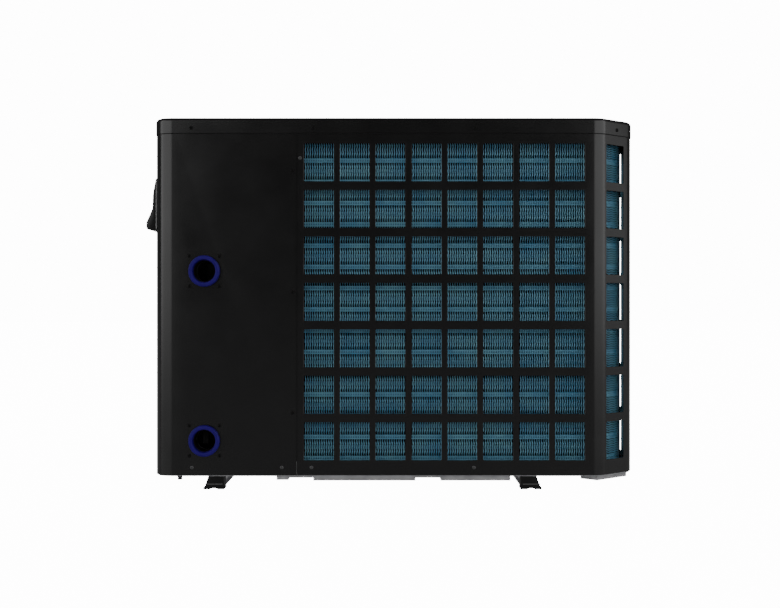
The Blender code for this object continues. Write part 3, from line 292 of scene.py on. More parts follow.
def fillet_path(corners, steps=8, closed=False):
    """Points along straight runs joined by arcs; each corner is a (point, radius) pair."""
    places = [Vector(point).to_3d() for point, _ in corners]
    path = []
    for index, (_, radius) in enumerate(corners):
        here = places[index]
        at_end = not closed and index in (0, len(corners) - 1)
        if at_end or radius == 0.0:
            path.append(here)
            continue
        before = (here - places[index - 1]).normalized()
        after = (places[(index + 1) % len(places)] - here).normalized()
        turn = before.angle(after)
        start = here - before * radius * math.tan(turn / 2)
        inward = (after - before * before.dot(after)).normalized()
        centre = start + inward * radius
        for angle in evenly(turn, steps):
            path.append(centre - inward * radius * math.cos(angle) + before * radius * math.sin(angle))
    return path


def evenly(total, steps):
    """Evenly spaced angles or distances from 0 to a total, both included."""
    return [total * step / steps for step in range(steps + 1)]


def facing(direction):
    """The rotation that points a piece's own +Z along a direction."""
    return Vector(direction).to_track_quat("Z", "Y").to_euler()


def link(name, data, location=(0.0, 0.0, 0.0), rotation=(0.0, 0.0, 0.0)):
    """Put an object in the scene."""
    item = bpy.data.objects.new(name, data)
    item.location = location
    item.rotation_euler = rotation
    bpy.context.scene.collection.objects.link(item)
    return item


def mesh_object(name, bm, location=(0.0, 0.0, 0.0), rotation=(0.0, 0.0, 0.0)):
    """Turn a bmesh into an object."""
    mesh = bpy.data.meshes.new(name)
    bm.to_mesh(mesh)
    bm.free()
    return link(name, mesh, location, rotation)


def shade(item):
    """Shade an object's round faces smooth and keep its edges sharp."""
    item.data.shade_smooth()
    item.data.set_sharp_from_angle(angle=SMOOTH_ANGLE)
    return item


def modify(item, kind, **settings):
    """Add a modifier and set its values."""
    modifier = item.modifiers.new(kind.title(), kind)
    for key, value in settings.items():
        setattr(modifier, key, value)
    return item


def bevelled(item, width, segments, degrees):
    """The item with every edge bevelled that turns by more than an angle."""
    return modify(item, "BEVEL", width=width, segments=segments, limit_method="ANGLE",
                  angle_limit=math.radians(degrees))


def settle(item):
    """Apply an object's modifiers, as a mesh, and shade its round faces smooth."""
    bpy.context.view_layer.update()
    evaluated = item.evaluated_get(bpy.context.evaluated_depsgraph_get())
    mesh = bpy.data.meshes.new_from_object(evaluated)
    mesh.materials.clear()
    name, matrix = item.name, item.matrix_world.copy()
    bpy.data.objects.remove(item, do_unlink=True)
    mesh.name = name
    settled = shade(link(name, mesh))
    settled.matrix_world = matrix
    return settled


def combine(item, operation, *others):
    """Cut other shapes out of an item, or fuse them into it, and remove them."""
    for other in others:
        modify(item, "BOOLEAN", operation=operation, object=other)
        item = settle(item)
        bpy.data.objects.remove(other, do_unlink=True)
    return item


def cut(item, *others):
    """Cut other shapes out of an item, and remove them."""
    return combine(item, "DIFFERENCE", *others)


def joined(name, items):
    """Several settled objects as one, in world space."""
    bm = bmesh.new()
    for item in items:
        bpy.context.view_layer.update()
        item.data.transform(item.matrix_world)
        bm.from_mesh(item.data)
        bpy.data.objects.remove(item, do_unlink=True)
    return shade(mesh_object(name, bm))


def finish_piece(item, slot, *stands_for, body="root", finish=None):
    """Give a piece its material, hide the nodes it stands for, and attach it to its body."""
    item.data.materials.clear()
    item.data.materials.append((finish or FINISHES[slot]).material)
    if stands_for:
        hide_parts(*stands_for)
    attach(item, body)
    return item


def soft_box(name, low, high, bevel=0.001, segments=2):
    """A box between two corners with rounded edges."""
    low, high = Vector(low), Vector(high)
    bm = bmesh.new()
    bmesh.ops.create_cube(bm, size=1.0, matrix=Matrix.Diagonal((*(high - low), 1.0)))
    if bevel:
        bmesh.ops.bevel(bm, geom=bm.edges[:], offset=bevel, segments=segments, profile=0.5,
                        affect="EDGES")
    return shade(mesh_object(name, bm, (low + high) / 2))


def rod(name, start, end, radius, sides=32):
    """A round bar between two points."""
    start, end = Vector(start), Vector(end)
    length = (end - start).length
    bm = bmesh.new()
    bmesh.ops.create_cone(bm, cap_ends=True, segments=sides, radius1=radius, radius2=radius,
                          depth=length, matrix=Matrix.Translation((0.0, 0.0, length / 2)))
    return mesh_object(name, bm, start, facing(end - start))


def hole(name, middle, direction, radius, sides=32):
    """A cutter for a round hole through a panel."""
    middle = Vector(middle)
    return rod(name, middle - direction * 0.01, middle + direction * 0.01, radius, sides)


def turned(name, profile, location, direction=UP, steps=64, ring=False):
    """A turned shape: (radius, height) points that run down the outer side."""
    bm = bmesh.new()
    points = [bm.verts.new((radius, 0.0, height)) for radius, height in profile]
    for first, second in zip(points, points[1:]):
        bm.edges.new((first, second))
    if ring:
        bm.edges.new((points[-1], points[0]))
    item = mesh_object(name, bm, location, facing(direction))
    modify(item, "SCREW", axis="Z", steps=steps, render_steps=steps, use_merge_vertices=True,
           merge_threshold=0.00001)
    return settle(item)


def lift(bm, made, height):
    """Move the newly extruded vertices up."""
    moved = [part for part in made["geom"] if isinstance(part, bmesh.types.BMVert)]
    bmesh.ops.translate(bm, verts=moved, vec=(0.0, 0.0, height))


def solid(name, points, faces):
    """An object from points and faces, with its faces turned outwards."""
    mesh = bpy.data.meshes.new(name)
    mesh.from_pydata(points, [], faces)
    bm = bmesh.new()
    bm.from_mesh(mesh)
    bmesh.ops.recalc_face_normals(bm, faces=bm.faces)
    bpy.data.meshes.remove(mesh)
    return mesh_object(name, bm)


def prism(name, outline, depth, location, rotation):
    """A solid whose outline lies in its own XY plane, centred on it."""
    bm = bmesh.new()
    face = bm.faces.new([bm.verts.new((*Vector(point).to_2d(), -depth / 2)) for point in outline])
    lift(bm, bmesh.ops.extrude_face_region(bm, geom=[face]), depth)
    bmesh.ops.recalc_face_normals(bm, faces=bm.faces)
    return mesh_object(name, bm, location, rotation)


def wires(name, loops, radius, cyclic, resolution=2):
    """Round wires along one or more paths, as one mesh."""
    curve = bpy.data.curves.new(name, "CURVE")
    curve.dimensions = "3D"
    curve.bevel_depth = radius
    curve.bevel_resolution = resolution
    curve.use_fill_caps = True
    for loop in loops:
        spline = curve.splines.new("POLY")
        spline.points.add(len(loop) - 1)
        spline.use_cyclic_u = cyclic
        for target, place in zip(spline.points, loop):
            target.co = (*Vector(place).to_3d(), 1.0)
    return settle(link(name, curve))


def wall(name, plan, bottom, top, thickness=SHEET):
    """A sheet that follows a plan path, outer face on the path, standing from bottom to top."""
    bm = bmesh.new()
    base = [bm.verts.new((place[0], place[1], bottom)) for place in plan]
    edges = [bm.edges.new(pair) for pair in zip(base, base[1:])]
    lift(bm, bmesh.ops.extrude_edge_only(bm, edges=edges), top - bottom)
    run = base[1].co - base[0].co
    first = next(face for face in bm.faces if base[0] in face.verts)
    first.normal_update()
    if first.normal.dot(run.cross(UP)) < 0.0:
        bmesh.ops.reverse_faces(bm, faces=bm.faces)
    item = mesh_object(name, bm)
    modify(item, "SOLIDIFY", thickness=thickness, offset=-1.0, use_even_offset=True)
    return settle(item)


def casing_corner(name, offset=0.0):
    """One corner of the casing's plan as a (point, bend radius) pair, moved out by offset."""
    left, right = LEFT_X - offset, RIGHT_X + offset
    front, back = FRONT_Y - offset, BACK_Y + offset
    corner_cut = CORNER_CUT + (2.0 - math.sqrt(2.0)) * offset
    corners = {
        "front_left": ((left, front), FRONT_BEND_R + offset),
        "front_right": ((right, front), FRONT_BEND_R + offset),
        "back_right": ((right, back), BEND_R + offset),
        "back_left": ((left + corner_cut, back), BEND_R + offset),
        "left_back": ((left, back - corner_cut), BEND_R + offset),
    }
    return corners[name]


# -------- casing


def window_cutter():
    """Every window of the wrapped grille, with slightly rounded corners."""
    bm = bmesh.new()
    facet_start = Vector((LEFT_X + CORNER_CUT, BACK_Y, 0.0))
    facet = facet_start - Vector((1.0, 1.0, 0.0)).normalized() * FACET_WINDOW_MIDDLE
    shapes = []
    for row in range(WINDOW_ROWS):
        height = WINDOW_TOP - WINDOW_HEIGHT / 2 - ROW_PITCH * row
        for column in range(BACK_COLUMNS):
            x = BACK_FIRST_EDGE - BACK_WINDOW_WIDTH / 2 - BACK_COLUMN_PITCH * column
            shapes.append(((x, BACK_Y, height), BACK_WINDOW_WIDTH, 0.0))
        shapes.append(((facet.x, facet.y, height), FACET_WINDOW_WIDTH, 45.0))
        for edge in SIDE_WINDOW_EDGES:
            shapes.append(((LEFT_X, edge - SIDE_WINDOW_WIDTH / 2, height), SIDE_WINDOW_WIDTH, 90.0))
    for place, width, turn in shapes:
        spin = Matrix.Rotation(math.radians(turn), 4, "Z")
        size = Matrix.Diagonal((width, WINDOW_CUT_DEPTH, WINDOW_HEIGHT, 1.0))
        box = Matrix.Translation(place) @ spin @ size
        made = bmesh.ops.create_cube(bm, size=1.0, matrix=box)["verts"]
        across = spin @ Vector((0.0, 1.0, 0.0))
        edges = {edge for vertex in made for edge in vertex.link_edges}
        deep_edges = [edge for edge in edges
                      if abs((edge.verts[0].co - edge.verts[1].co).normalized().dot(across)) > 0.99]
        bmesh.ops.bevel(bm, geom=deep_edges, offset=WINDOW_CORNER_R, segments=3, profile=0.5,
                        affect="EDGES")
    return mesh_object("window_cutter", bm)


def make_rear_coil_panel():
    """The grille panel in one bent sheet, joggled behind the service panel."""
    tuck_y = BACK_Y - SHEET - 2 * GAP
    plan = [
        ((REAR_SEAM_X + 0.024, tuck_y), 0.0),
        ((REAR_SEAM_X - 0.0004, tuck_y), 0.0),
        ((REAR_SEAM_X - 0.0012, BACK_Y), 0.0),
        casing_corner("back_left"),
        casing_corner("left_back"),
        ((LEFT_X, SIDE_SEAM_Y + GAP), 0.0),
    ]
    panel = wall("grille_panel", fillet_path(plan, 10), CASING_BOTTOM, PANEL_TOP)
    panel = cut(panel, window_cutter())
    panel = settle(bevelled(panel, RIM_CHAMFER, 1, 75.0))
    finish_piece(panel, "casing_black", "rear_coil_panel")
    # A lighter strip in the bottom of the rear seam paints the light that shows through the gap
    edge = soft_box("seam_gap_light_strip", (REAR_SEAM_X - 0.0005, BACK_Y - 0.0006, CASING_BOTTOM + 0.001),
                    (REAR_SEAM_X + 0.0003, BACK_Y + 0.0003, CASING_BOTTOM + 0.032), 0.0)
    finish_piece(edge, "casing_black", finish=SEAM_GAP_LIGHT)


def make_service_side_panel():
    """The water-side panel, with its two pipe holes and the gland hole."""
    plan = [((RIGHT_X, SIDE_SEAM_Y + GAP), 0.0), casing_corner("back_right"),
            ((REAR_SEAM_X, BACK_Y), 0.0)]
    panel = wall("water_side_panel", fillet_path(plan, 16), CASING_BOTTOM, PANEL_TOP)
    tail_r = (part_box("water_inlet_tailpiece")[1].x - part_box("water_inlet_tailpiece")[0].x) / 2
    holes = [hole("pipe_hole", (WATER_X, BACK_Y, z), OUT_BACK, tail_r + 0.0008, 64)
             for z in (INLET_Z, OUTLET_Z)]
    gland = middle_of("cable_gland")
    holes.append(hole("gland_hole", (RIGHT_X, gland.y, gland.z), OUT_SIDE, GLAND_HOLE_R))
    finish_piece(cut(panel, *holes), "casing_black", "service_side_panel")


def make_front_panels():
    """The fan panel with its round opening, and the front service panel with the controls' one."""
    plan = [((LEFT_X, SIDE_SEAM_Y), 0.0), casing_corner("front_left"), ((FRONT_SEAM_X, FRONT_Y), 0.0)]
    panel = wall("fan_panel", fillet_path(plan, 10), CASING_BOTTOM, PANEL_TOP)
    opening = hole("fan_opening", (FAN_X, FRONT_Y, FAN_Z), OUT_BACK, FAN_HOLE_R, 128)
    finish_piece(cut(panel, opening), "casing_black", "front_fan_panel")
    plan = [((FRONT_SEAM_X + 2 * GAP, FRONT_Y), 0.0), casing_corner("front_right"),
            ((RIGHT_X, SIDE_SEAM_Y), 0.0)]
    panel = wall("front_access_panel", fillet_path(plan, 10), CASING_BOTTOM, PANEL_TOP)
    border = Vector((0.005, 0.0, 0.005))
    opening = soft_box("control_opening", CONTROL_LOW + border - OUT_BACK * 0.01,
                       CONTROL_HIGH - border + OUT_BACK * 0.01, 0.0)
    finish_piece(cut(panel, opening), "casing_black", "front_service_panel")


def make_lid():
    """The lid: a flat top, a rolled edge and a skirt over the tops of the panels."""
    names = ("front_left", "front_right", "back_right", "back_left", "left_back")
    plan = fillet_path([casing_corner(name, LID_OVERHANG) for name in names], 14, closed=True)
    bm = bmesh.new()
    plate = bm.faces.new([bm.verts.new((place.x, place.y, HEIGHT)) for place in plan])
    lift(bm, bmesh.ops.extrude_edge_only(bm, edges=list(plate.edges)), LID_BOTTOM - HEIGHT)
    bmesh.ops.recalc_face_normals(bm, faces=bm.faces)
    plate.normal_update()
    if plate.normal.z < 0.0:
        bmesh.ops.reverse_faces(bm, faces=bm.faces)
    lid = mesh_object("lid", bm)
    bevelled(lid, LID_EDGE_R, 6, 60.0)
    modify(lid, "SOLIDIFY", thickness=SHEET, offset=-1.0, use_even_offset=True)
    finish_piece(settle(lid), "casing_black", "top_lid")
    # A thin near-black strip just under the lid's edge paints the shadow the lid casts on the panels
    shadow_plan = fillet_path([casing_corner(name, 0.0008) for name in names], 14, closed=True)
    shadow_strip = wall("lid_shadow_strip", [*shadow_plan, shadow_plan[0]], LID_BOTTOM - 0.0016, LID_BOTTOM + 0.0005,
                0.0007)
    finish_piece(shadow_strip, "casing_black", finish=SCREW_BLACK)


# -------- coil


def coil_face(distance):
    """Point and outward normal on the coil's outer face, at a distance from the service end."""
    if distance <= COIL_STRAIGHT:
        return Vector((COIL_HIGH.x - distance, COIL_HIGH.y, 0.0)), OUT_BACK
    if distance <= COIL_STRAIGHT + COIL_ARC:
        angle = (distance - COIL_STRAIGHT) / COIL_BEND_R
        normal = Vector((-math.sin(angle), math.cos(angle), 0.0))
        centre = Vector((COIL_LOW.x + COIL_BEND_R, COIL_HIGH.y - COIL_BEND_R, 0.0))
        return centre + normal * COIL_BEND_R, normal
    down = distance - COIL_STRAIGHT - COIL_ARC
    return Vector((COIL_LOW.x, COIL_HIGH.y - COIL_BEND_R - down, 0.0)), -OUT_SIDE


def coil_point(distance, depth):
    """A point behind the coil's outer face."""
    point, normal = coil_face(distance)
    return point - normal * depth


def fin_strips(name, places, outer, inner, widths, levels):
    """Upright fins at these distances along the coil, each a tapered strip between two depths."""
    edge_width, web_width = widths
    vertices, faces = [], []
    for distance in places:
        point, normal = coil_face(distance)
        along = Vector((-normal.y, normal.x, 0.0))
        first = len(vertices)
        for level, (height, swell, sway) in enumerate(levels):
            start = len(vertices)
            half = edge_width * swell / 2
            middle = point + along * FIN_SWAY * sway + UP * height
            shoulder = middle - normal * (outer + 0.0006)
            vertices += [shoulder - along * half,
                         middle - normal * outer,
                         shoulder + along * half,
                         middle - normal * inner + along * web_width / 2,
                         middle - normal * inner - along * web_width / 2]
            if level:
                for side in range(5):
                    after = (side + 1) % 5
                    faces.append((start - 5 + side, start - 5 + after, start + after, start + side))
        faces.append(tuple(range(first + 4, first - 1, -1)))
        faces.append(tuple(range(start, start + 5)))
    return solid(name, vertices, faces)


def fin_levels():
    """Heights up a fin with its swell and sway there, following the tubes."""
    levels = []
    for index in range(-1, TUBE_COUNT + 1):
        tube_z = TUBE_LOWEST + TUBE_PITCH * index
        for offset, swell, sway in FIN_SHAPE:
            levels.append((tube_z + offset, swell, sway))
            if 0.0 < offset < 0.020:
                levels.append((tube_z - offset, swell, sway))
    low, high = COIL_LOW.z, COIL_HIGH.z
    inside = sorted(level for level in levels if low + 0.001 < level[0] < high - 0.001)
    return [(low, 1.0, 0.0), *inside, (high, 1.0, 0.0)]


def louvre_tabs(name, places):
    """Short pressed tabs up the edges of the fins round the bend, in slightly stepped rows."""
    points, faces = [], []
    low, high = COIL_LOW.z + 0.002, COIL_HIGH.z - 0.004
    corners = [(x, y, z) for x in (-0.5, 0.5) for y in (-0.5, 0.5) for z in (-0.5, 0.5)]
    sides = ((0, 1, 3, 2), (4, 6, 7, 5), (0, 4, 5, 1), (2, 3, 7, 6), (0, 2, 6, 4), (1, 5, 7, 3))
    for index, distance in enumerate(places):
        point, normal = coil_face(distance)
        turn = normal.to_track_quat("Y", "Z").to_matrix().to_4x4()
        shape = turn @ Matrix.Diagonal((*LOUVRE_SIZE, 1.0))
        start = low + LOUVRE_PITCH * LOUVRE_STEPS[index % len(LOUVRE_STEPS)]
        for step in range(int((high - start) / LOUVRE_PITCH)):
            place = point - normal * 0.0025 + UP * (start + LOUVRE_PITCH * step)
            first = len(points)
            points += [place + shape @ Vector(corner) for corner in corners]
            faces += [tuple(first + number for number in side) for side in sides]
    return solid(name, points, faces)


def make_fins():
    """The fins: swaying outer edges, straight inner edges and, between them, a near-black sheet of
    painted shadow; round the bend, near-black backing fins and shaded fins also paint shadow.
    """
    low, high = COIL_LOW.z, COIL_HIGH.z
    places = [FIN_PITCH * (fin + 0.5) for fin in range(int(COIL_LENGTH / FIN_PITCH))]
    bend_start = COIL_STRAIGHT + 0.012
    bend = [place for place in places if bend_start < place < bend_start + COIL_ARC]
    flat = [place for place in places if place not in bend]
    strips = fin_strips("coil_fins", flat, 0.0, FIN_FRONT_DEPTH, (FIN_EDGE, FIN_WEB), fin_levels())
    finish_piece(strips, "coil_blue", "evaporator_coil")
    plain = [(low, 1.0, 0.0), (high, 1.0, 0.0)]
    seen = [place for place in bend if place < bend_start + COIL_BEND_R * BEND_SEEN]
    shaded = [place for place in bend if place not in seen]
    # Round the bend, near-black fins paint shadow: backing behind the lit louvre tabs, and whole fins
    # where the casing shades the bend
    for name, some, outer in (("coil_fins_bend", seen, 0.0030), ("coil_fins_shaded", shaded, 0.0)):
        strips = fin_strips(name, some, outer, FIN_FRONT_DEPTH, (FIN_WEB, FIN_WEB), plain)
        finish_piece(strips, "coil_blue", finish=PAINTED_FIN_SHADOW)
    finish_piece(louvre_tabs("coil_louvres", seen), "coil_blue")
    finish_piece(fin_strips("coil_fins_inner", places, COIL_DEPTH, COIL_DEPTH - 0.006,
                            (FIN_EDGE, FIN_EDGE * 0.8), plain), "coil_blue")
    # A near-black sheet behind the fins paints the shadow inside the coil
    plan = [coil_point(distance, FIN_SHADOW_SHEET_DEPTH) for distance in evenly(COIL_LENGTH, 59)]
    shadow_sheet = wall("coil_shadow_sheet", plan, low + 0.001, high - 0.001, COIL_DEPTH - 0.005 - FIN_SHADOW_SHEET_DEPTH)
    finish_piece(shadow_sheet, "coil_blue", finish=PAINTED_FIN_SHADOW)


def tube_path(depth, height):
    """One tube's path through the fins at a depth behind their outer edges."""
    stops = [0.0, *(COIL_STRAIGHT + distance for distance in evenly(COIL_ARC, 14)), COIL_LENGTH]
    return [coil_point(distance, depth) + UP * height for distance in stops]


def make_tubes():
    """Two staggered rows of tubes through the fins, and the copper bends that join them."""
    front_depth, rear_depth = TUBE_R + 0.0024, TUBE_R + 0.0085
    heights = [TUBE_LOWEST + TUBE_PITCH * index for index in range(TUBE_COUNT)]
    front = [tube_path(front_depth, height) for height in heights]
    # Front and rear tubes take darker copies of the fin blue as painted shade
    finish_piece(wires("coil_tubes_front", front, TUBE_R, False, 3), "coil_blue", finish=SHADED_FRONT_TUBE)
    rear = [tube_path(rear_depth, height + TUBE_PITCH / 2) for height in heights[:-1]]
    finish_piece(wires("coil_tubes_rear", rear, TUBE_R, False, 3), "coil_blue", finish=SHADED_REAR_TUBE)
    collars = [tube_path(0.0026, height + lift) for height in heights for lift in (0.0030, -0.0042)]
    finish_piece(wires("coil_tube_collars", collars, 0.0011, False, 2), "coil_blue")
    plate_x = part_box("coil_end_plate_service")[1].x
    bends = []
    for height in heights[:-1]:
        low = Vector((plate_x, COIL_HIGH.y - front_depth, height))
        high = Vector((plate_x, COIL_HIGH.y - rear_depth, height + TUBE_PITCH / 2))
        middle, half = (low + high) / 2, (high - low) / 2
        bends.append([middle - half * math.cos(a) + OUT_SIDE * RETURN_REACH * math.sin(a)
                      for a in evenly(math.pi, 8)])
    finish_piece(wires("return_bends", bends, TUBE_R * 0.96, False, 2), "copper")


# -------- fan side


def round_fan(radius, angle, y):
    """A point round the fan's axis."""
    return Vector((FAN_X + radius * math.cos(angle), y, FAN_Z + radius * math.sin(angle)))


def guard_lug_places(y):
    """The guard's four fixing points, on the diagonals."""
    return [round_fan(GUARD_R - 0.004, math.pi / 4 + QUARTER * index, y) for index in range(4)]


def make_guard():
    """The finger guard: wire rings on radial ribs, a rim, four lugs and a plain domed centre."""
    base = 0.0045
    rise = FRONT_Y - GUARD_LOW.y - base - 0.00365
    rim_r, flat_r, rib_start = GUARD_R - 0.005, 0.225, 0.052

    def stand_off(radius):
        """How far the wires stand off the panel at a radius."""
        return base + rise * (1.0 - max(0.0, (radius - flat_r) / (rim_r - flat_r)) ** 2.2)

    def ring(radius, steps=96):
        """One wire ring on the dome."""
        return [round_fan(radius, angle, FRONT_Y - stand_off(radius))
                for angle in evenly(2 * math.pi, steps)[:-1]]

    radii = [0.066 + 0.0113 * index for index in range(20)]
    rings = wires("guard_rings", [ring(radius) for radius in radii], 0.0014, True, 1)
    rim = wires("guard_rim", [ring(rim_r, 128)], 0.0036, True, 3)
    ribs = []
    for index in range(8):
        angle = 2 * math.pi * (index + 0.5) / 8
        reaches = [rib_start + reach for reach in evenly(rim_r - rib_start, 12)]
        ribs.append([round_fan(r, angle, FRONT_Y - stand_off(r) + 0.0030) for r in reaches])
    rib_wires = wires("guard_ribs", ribs, 0.0020, False, 2)
    out = stand_off(0.0)
    centre = turned("guard_centre", [(0.0, out + 0.0012), (0.030, out + 0.0008), (0.048, out - 0.0006),
                                     (0.056, out - 0.0035), (0.057, out - 0.0060), (0.0, out - 0.0060)],
                    (FAN_X, FRONT_Y, FAN_Z), OUT_FRONT, 72)
    lugs = []
    for place in guard_lug_places(FRONT_Y - 0.0018):
        lug = soft_box("guard_lug", (-0.011, -0.009, 0.0004), (0.011, 0.009, 0.0026), 0.0010)
        lug.rotation_euler = facing(OUT_FRONT)
        lug.location = place
        lugs.append(lug)
    guard = joined("finger_guard", [rings, rim, rib_wires, centre, *lugs])
    finish_piece(guard, "guard_black", "fan_guard")


def make_shroud():
    """The bell-mouth ring behind the fan panel, with a smooth lip."""
    low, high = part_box("fan_shroud")
    depth = high.y - low.y
    throat, wall_t = 0.272, 0.002
    lip = [(throat + 0.0210 * (1 - math.cos(a)), -0.0130 * (1 - math.sin(a)))
           for a in evenly(QUARTER, 8)]
    outer = [(radius + wall_t, height - wall_t * 0.6) for radius, height in reversed(lip[:-1])]
    profile = [(lip[-1][0], -wall_t), *outer, (throat + wall_t, -depth), (throat, -depth),
               (throat + 0.0001, -0.040), *lip]
    shroud = turned("bell_mouth", profile, (FAN_X, low.y, FAN_Z), OUT_FRONT, 96, True)
    finish_piece(shroud, "fan_plastic", "fan_shroud")


def make_impeller():
    """The three-blade impeller: swept, twisted blades on a hollow hub."""
    low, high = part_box("fan_impeller")
    hub_r, tip_r = 0.050, (high.z - low.z) / 2 - 0.0004
    radial, around = 14, 20
    blades = []
    for blade in range(3):
        bm = bmesh.new()
        grid = bmesh.ops.create_grid(bm, x_segments=radial, y_segments=around, size=0.5)["verts"]
        for vertex in grid:
            out, along = vertex.co.x + 0.5, vertex.co.y
            radius = hub_r - 0.004 + (tip_r - hub_r + 0.004) * out
            span = math.radians(60.0 + 22.0 * out)
            rounding = 1.0 - 0.16 * max(0.0, out - 0.72) / 0.28 * abs(along * 2) ** 3
            angle = 2 * math.pi * blade / 3 + span * along * rounding + math.radians(18.0) * out
            camber = 0.0045 * math.cos(math.pi * along) * out
            depth = high.y - 0.0055 + (low.y - high.y + 0.011) * (along + 0.5) + camber
            vertex.co = (radius * math.cos(angle), depth, radius * math.sin(angle))
        item = mesh_object(f"blade_{blade}", bm, (FAN_X, 0.0, FAN_Z))
        modify(item, "SOLIDIFY", thickness=0.0026, offset=0.0)
        blades.append(settle(item))
    height = high.y - low.y
    profile = [(0.0, height - 0.004), (0.016, height - 0.004), (0.020, height),
               (hub_r - 0.008, height), (hub_r - 0.002, height - 0.002), (hub_r, height - 0.008),
               (hub_r, 0.0), (hub_r - 0.003, 0.0), (hub_r - 0.004, height - 0.010),
               (0.018, height - 0.012), (0.018, 0.0), (0.0, 0.0)]
    hub = turned("hub", profile, (FAN_X, high.y, FAN_Z), OUT_FRONT, 72)
    impeller = joined("impeller", [hub, *blades])
    finish_piece(impeller, "fan_plastic", "fan_impeller", body="fan")


# -------- water side


def make_water_rings():
    """The blue rings, with a softly rounded outer edge and mouth."""
    ring_r = (RING_HIGH.x - RING_LOW.x) / 2
    depth = RING_HIGH.y - BACK_Y
    bore = 0.0252
    for end, height in (("inlet", INLET_Z), ("outlet", OUTLET_Z)):
        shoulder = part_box(f"water_{end}_tailpiece")[1].y + GAP - BACK_Y
        edge = [(ring_r - 0.0030 + 0.0030 * math.sin(a), depth - 0.0030 + 0.0030 * math.cos(a))
                for a in evenly(QUARTER, 5)]
        mouth = [(bore + 0.0016 + 0.0014 * (1 - math.cos(a)), depth - 0.0014 + 0.0014 * math.sin(a))
                 for a in evenly(QUARTER, 4)]
        profile = edge + [(ring_r, 0.0012), (ring_r - 0.0008, GAP), (0.0306, GAP), (0.0306, shoulder),
                          (bore, shoulder)] + mouth
        place = (WATER_X, BACK_Y, height)
        ring = turned(f"water_{end}_blue_ring", profile, place, OUT_BACK, 96, True)
        finish_piece(ring, "ring_blue", f"water_{end}_ring", body=f"{end}_union")


def make_handle():
    """The hooded lifting handle: a hood that swells downwards, hollow from below, on a gasket."""
    wall_x = HANDLE_LOW.x - GAP
    reach = HANDLE_HIGH.x - wall_x
    outline = [(0.07, 1.0), (0.10, 0.99), (0.22, 0.870), (0.32, 0.760), (0.375, 0.674), (0.402, 0.576),
               (0.408, 0.459), (0.43, 0.410), (0.68, 0.282), (0.88, 0.190), (0.98, 0.146), (1.0, 0.110),
               (1.0, 0.068), (0.955, 0.021), (0.86, 0.0), (0.07, 0.0)]
    span = HANDLE_HIGH.z - HANDLE_LOW.z
    outer = [(reach * x, HANDLE_LOW.z + span * share) for x, share in outline]
    inner = [(0.0040, 0.72), (0.0064, 0.67), (0.0071, 0.45), (0.0140, 0.27), (0.0208, 0.14),
             (0.0214, 0.06), (0.0214, -0.10), (0.0040, -0.10)]
    hollow = [(x, HANDLE_LOW.z + span * share) for x, share in inner]
    middle = (wall_x, (HANDLE_LOW.y + HANDLE_HIGH.y) / 2, 0.0)
    length = HANDLE_HIGH.y - HANDLE_LOW.y
    upright = (QUARTER, 0.0, 0.0)
    hood = prism("lift_handle", outer, length, middle, upright)
    hood = settle(bevelled(hood, 0.0012, 3, 45.0))
    hood = cut(hood, prism("handle_hollow", hollow, length - 0.009, middle, upright))
    finish_piece(hood, "handle_plastic", "side_handle")
    # The gasket strip's light grey is partly its own colour and partly painted highlight along the
    # handle's edge
    gasket = soft_box("handle_gasket", (wall_x + GAP, HANDLE_LOW.y + 0.0005, HANDLE_LOW.z + 0.002),
                      (wall_x + 0.0024, HANDLE_HIGH.y + 0.0004, HANDLE_HIGH.z - 0.001), 0.0003, 1)
    finish_piece(gasket, "handle_plastic", finish=GASKET_AND_HIGHLIGHT)


# -------- feet


# The low arch under a foot: places across it and heights
FOOT_ARCH = ((-0.0085, 0.0), (-0.0070, 0.0016), (-0.0035, 0.0024),
             (0.0035, 0.0024), (0.0070, 0.0016), (0.0085, 0.0))


def make_feet():
    """The four moulded feet: flared pads, a raised band and a low arch."""
    for place, side in (("service", 1.0), ("coil", -1.0)):
        for end in ("rear", "front"):
            node = f"rubber_foot_{place}_{end}"
            low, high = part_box(node)
            origin = low.x if side > 0 else high.x
            width, top = high.x - low.x, high.z
            arch = [(width / 2 + x, z) for x, z in FOOT_ARCH]
            outline = [(0.0, 0.0), *arch, (width, 0.0), (width, 0.0048), (width - 0.0035, 0.0068),
                       (width - 0.0115, top), (0.0015, top), (0.0015, 0.0068), (0.0, 0.0048)]
            outline = [(side * x, z) for x, z in outline]
            length = high.y - low.y
            spot = (origin, (low.y + high.y) / 2, 0.0)
            foot = prism(f"foot_{place}_{end}", outline, length, spot, (QUARTER, 0.0, 0.0))
            finish_piece(settle(bevelled(foot, 0.0009, 2, 30.0)), "foot_rubber", node)
            # The raised band is lighter than the foot: painted highlight
            end_y = high.y if end == "rear" else low.y
            band_low = Vector((low.x + 0.004, end_y - 0.0010, 0.0105))
            band = soft_box(f"foot_band_highlight_{place}_{end}", band_low,
                            (high.x - 0.005, end_y + 0.0010, 0.0140), 0.0009, 3)
            finish_piece(band, "foot_rubber", finish=FOOT_BAND_HIGHLIGHT)


# -------- controls


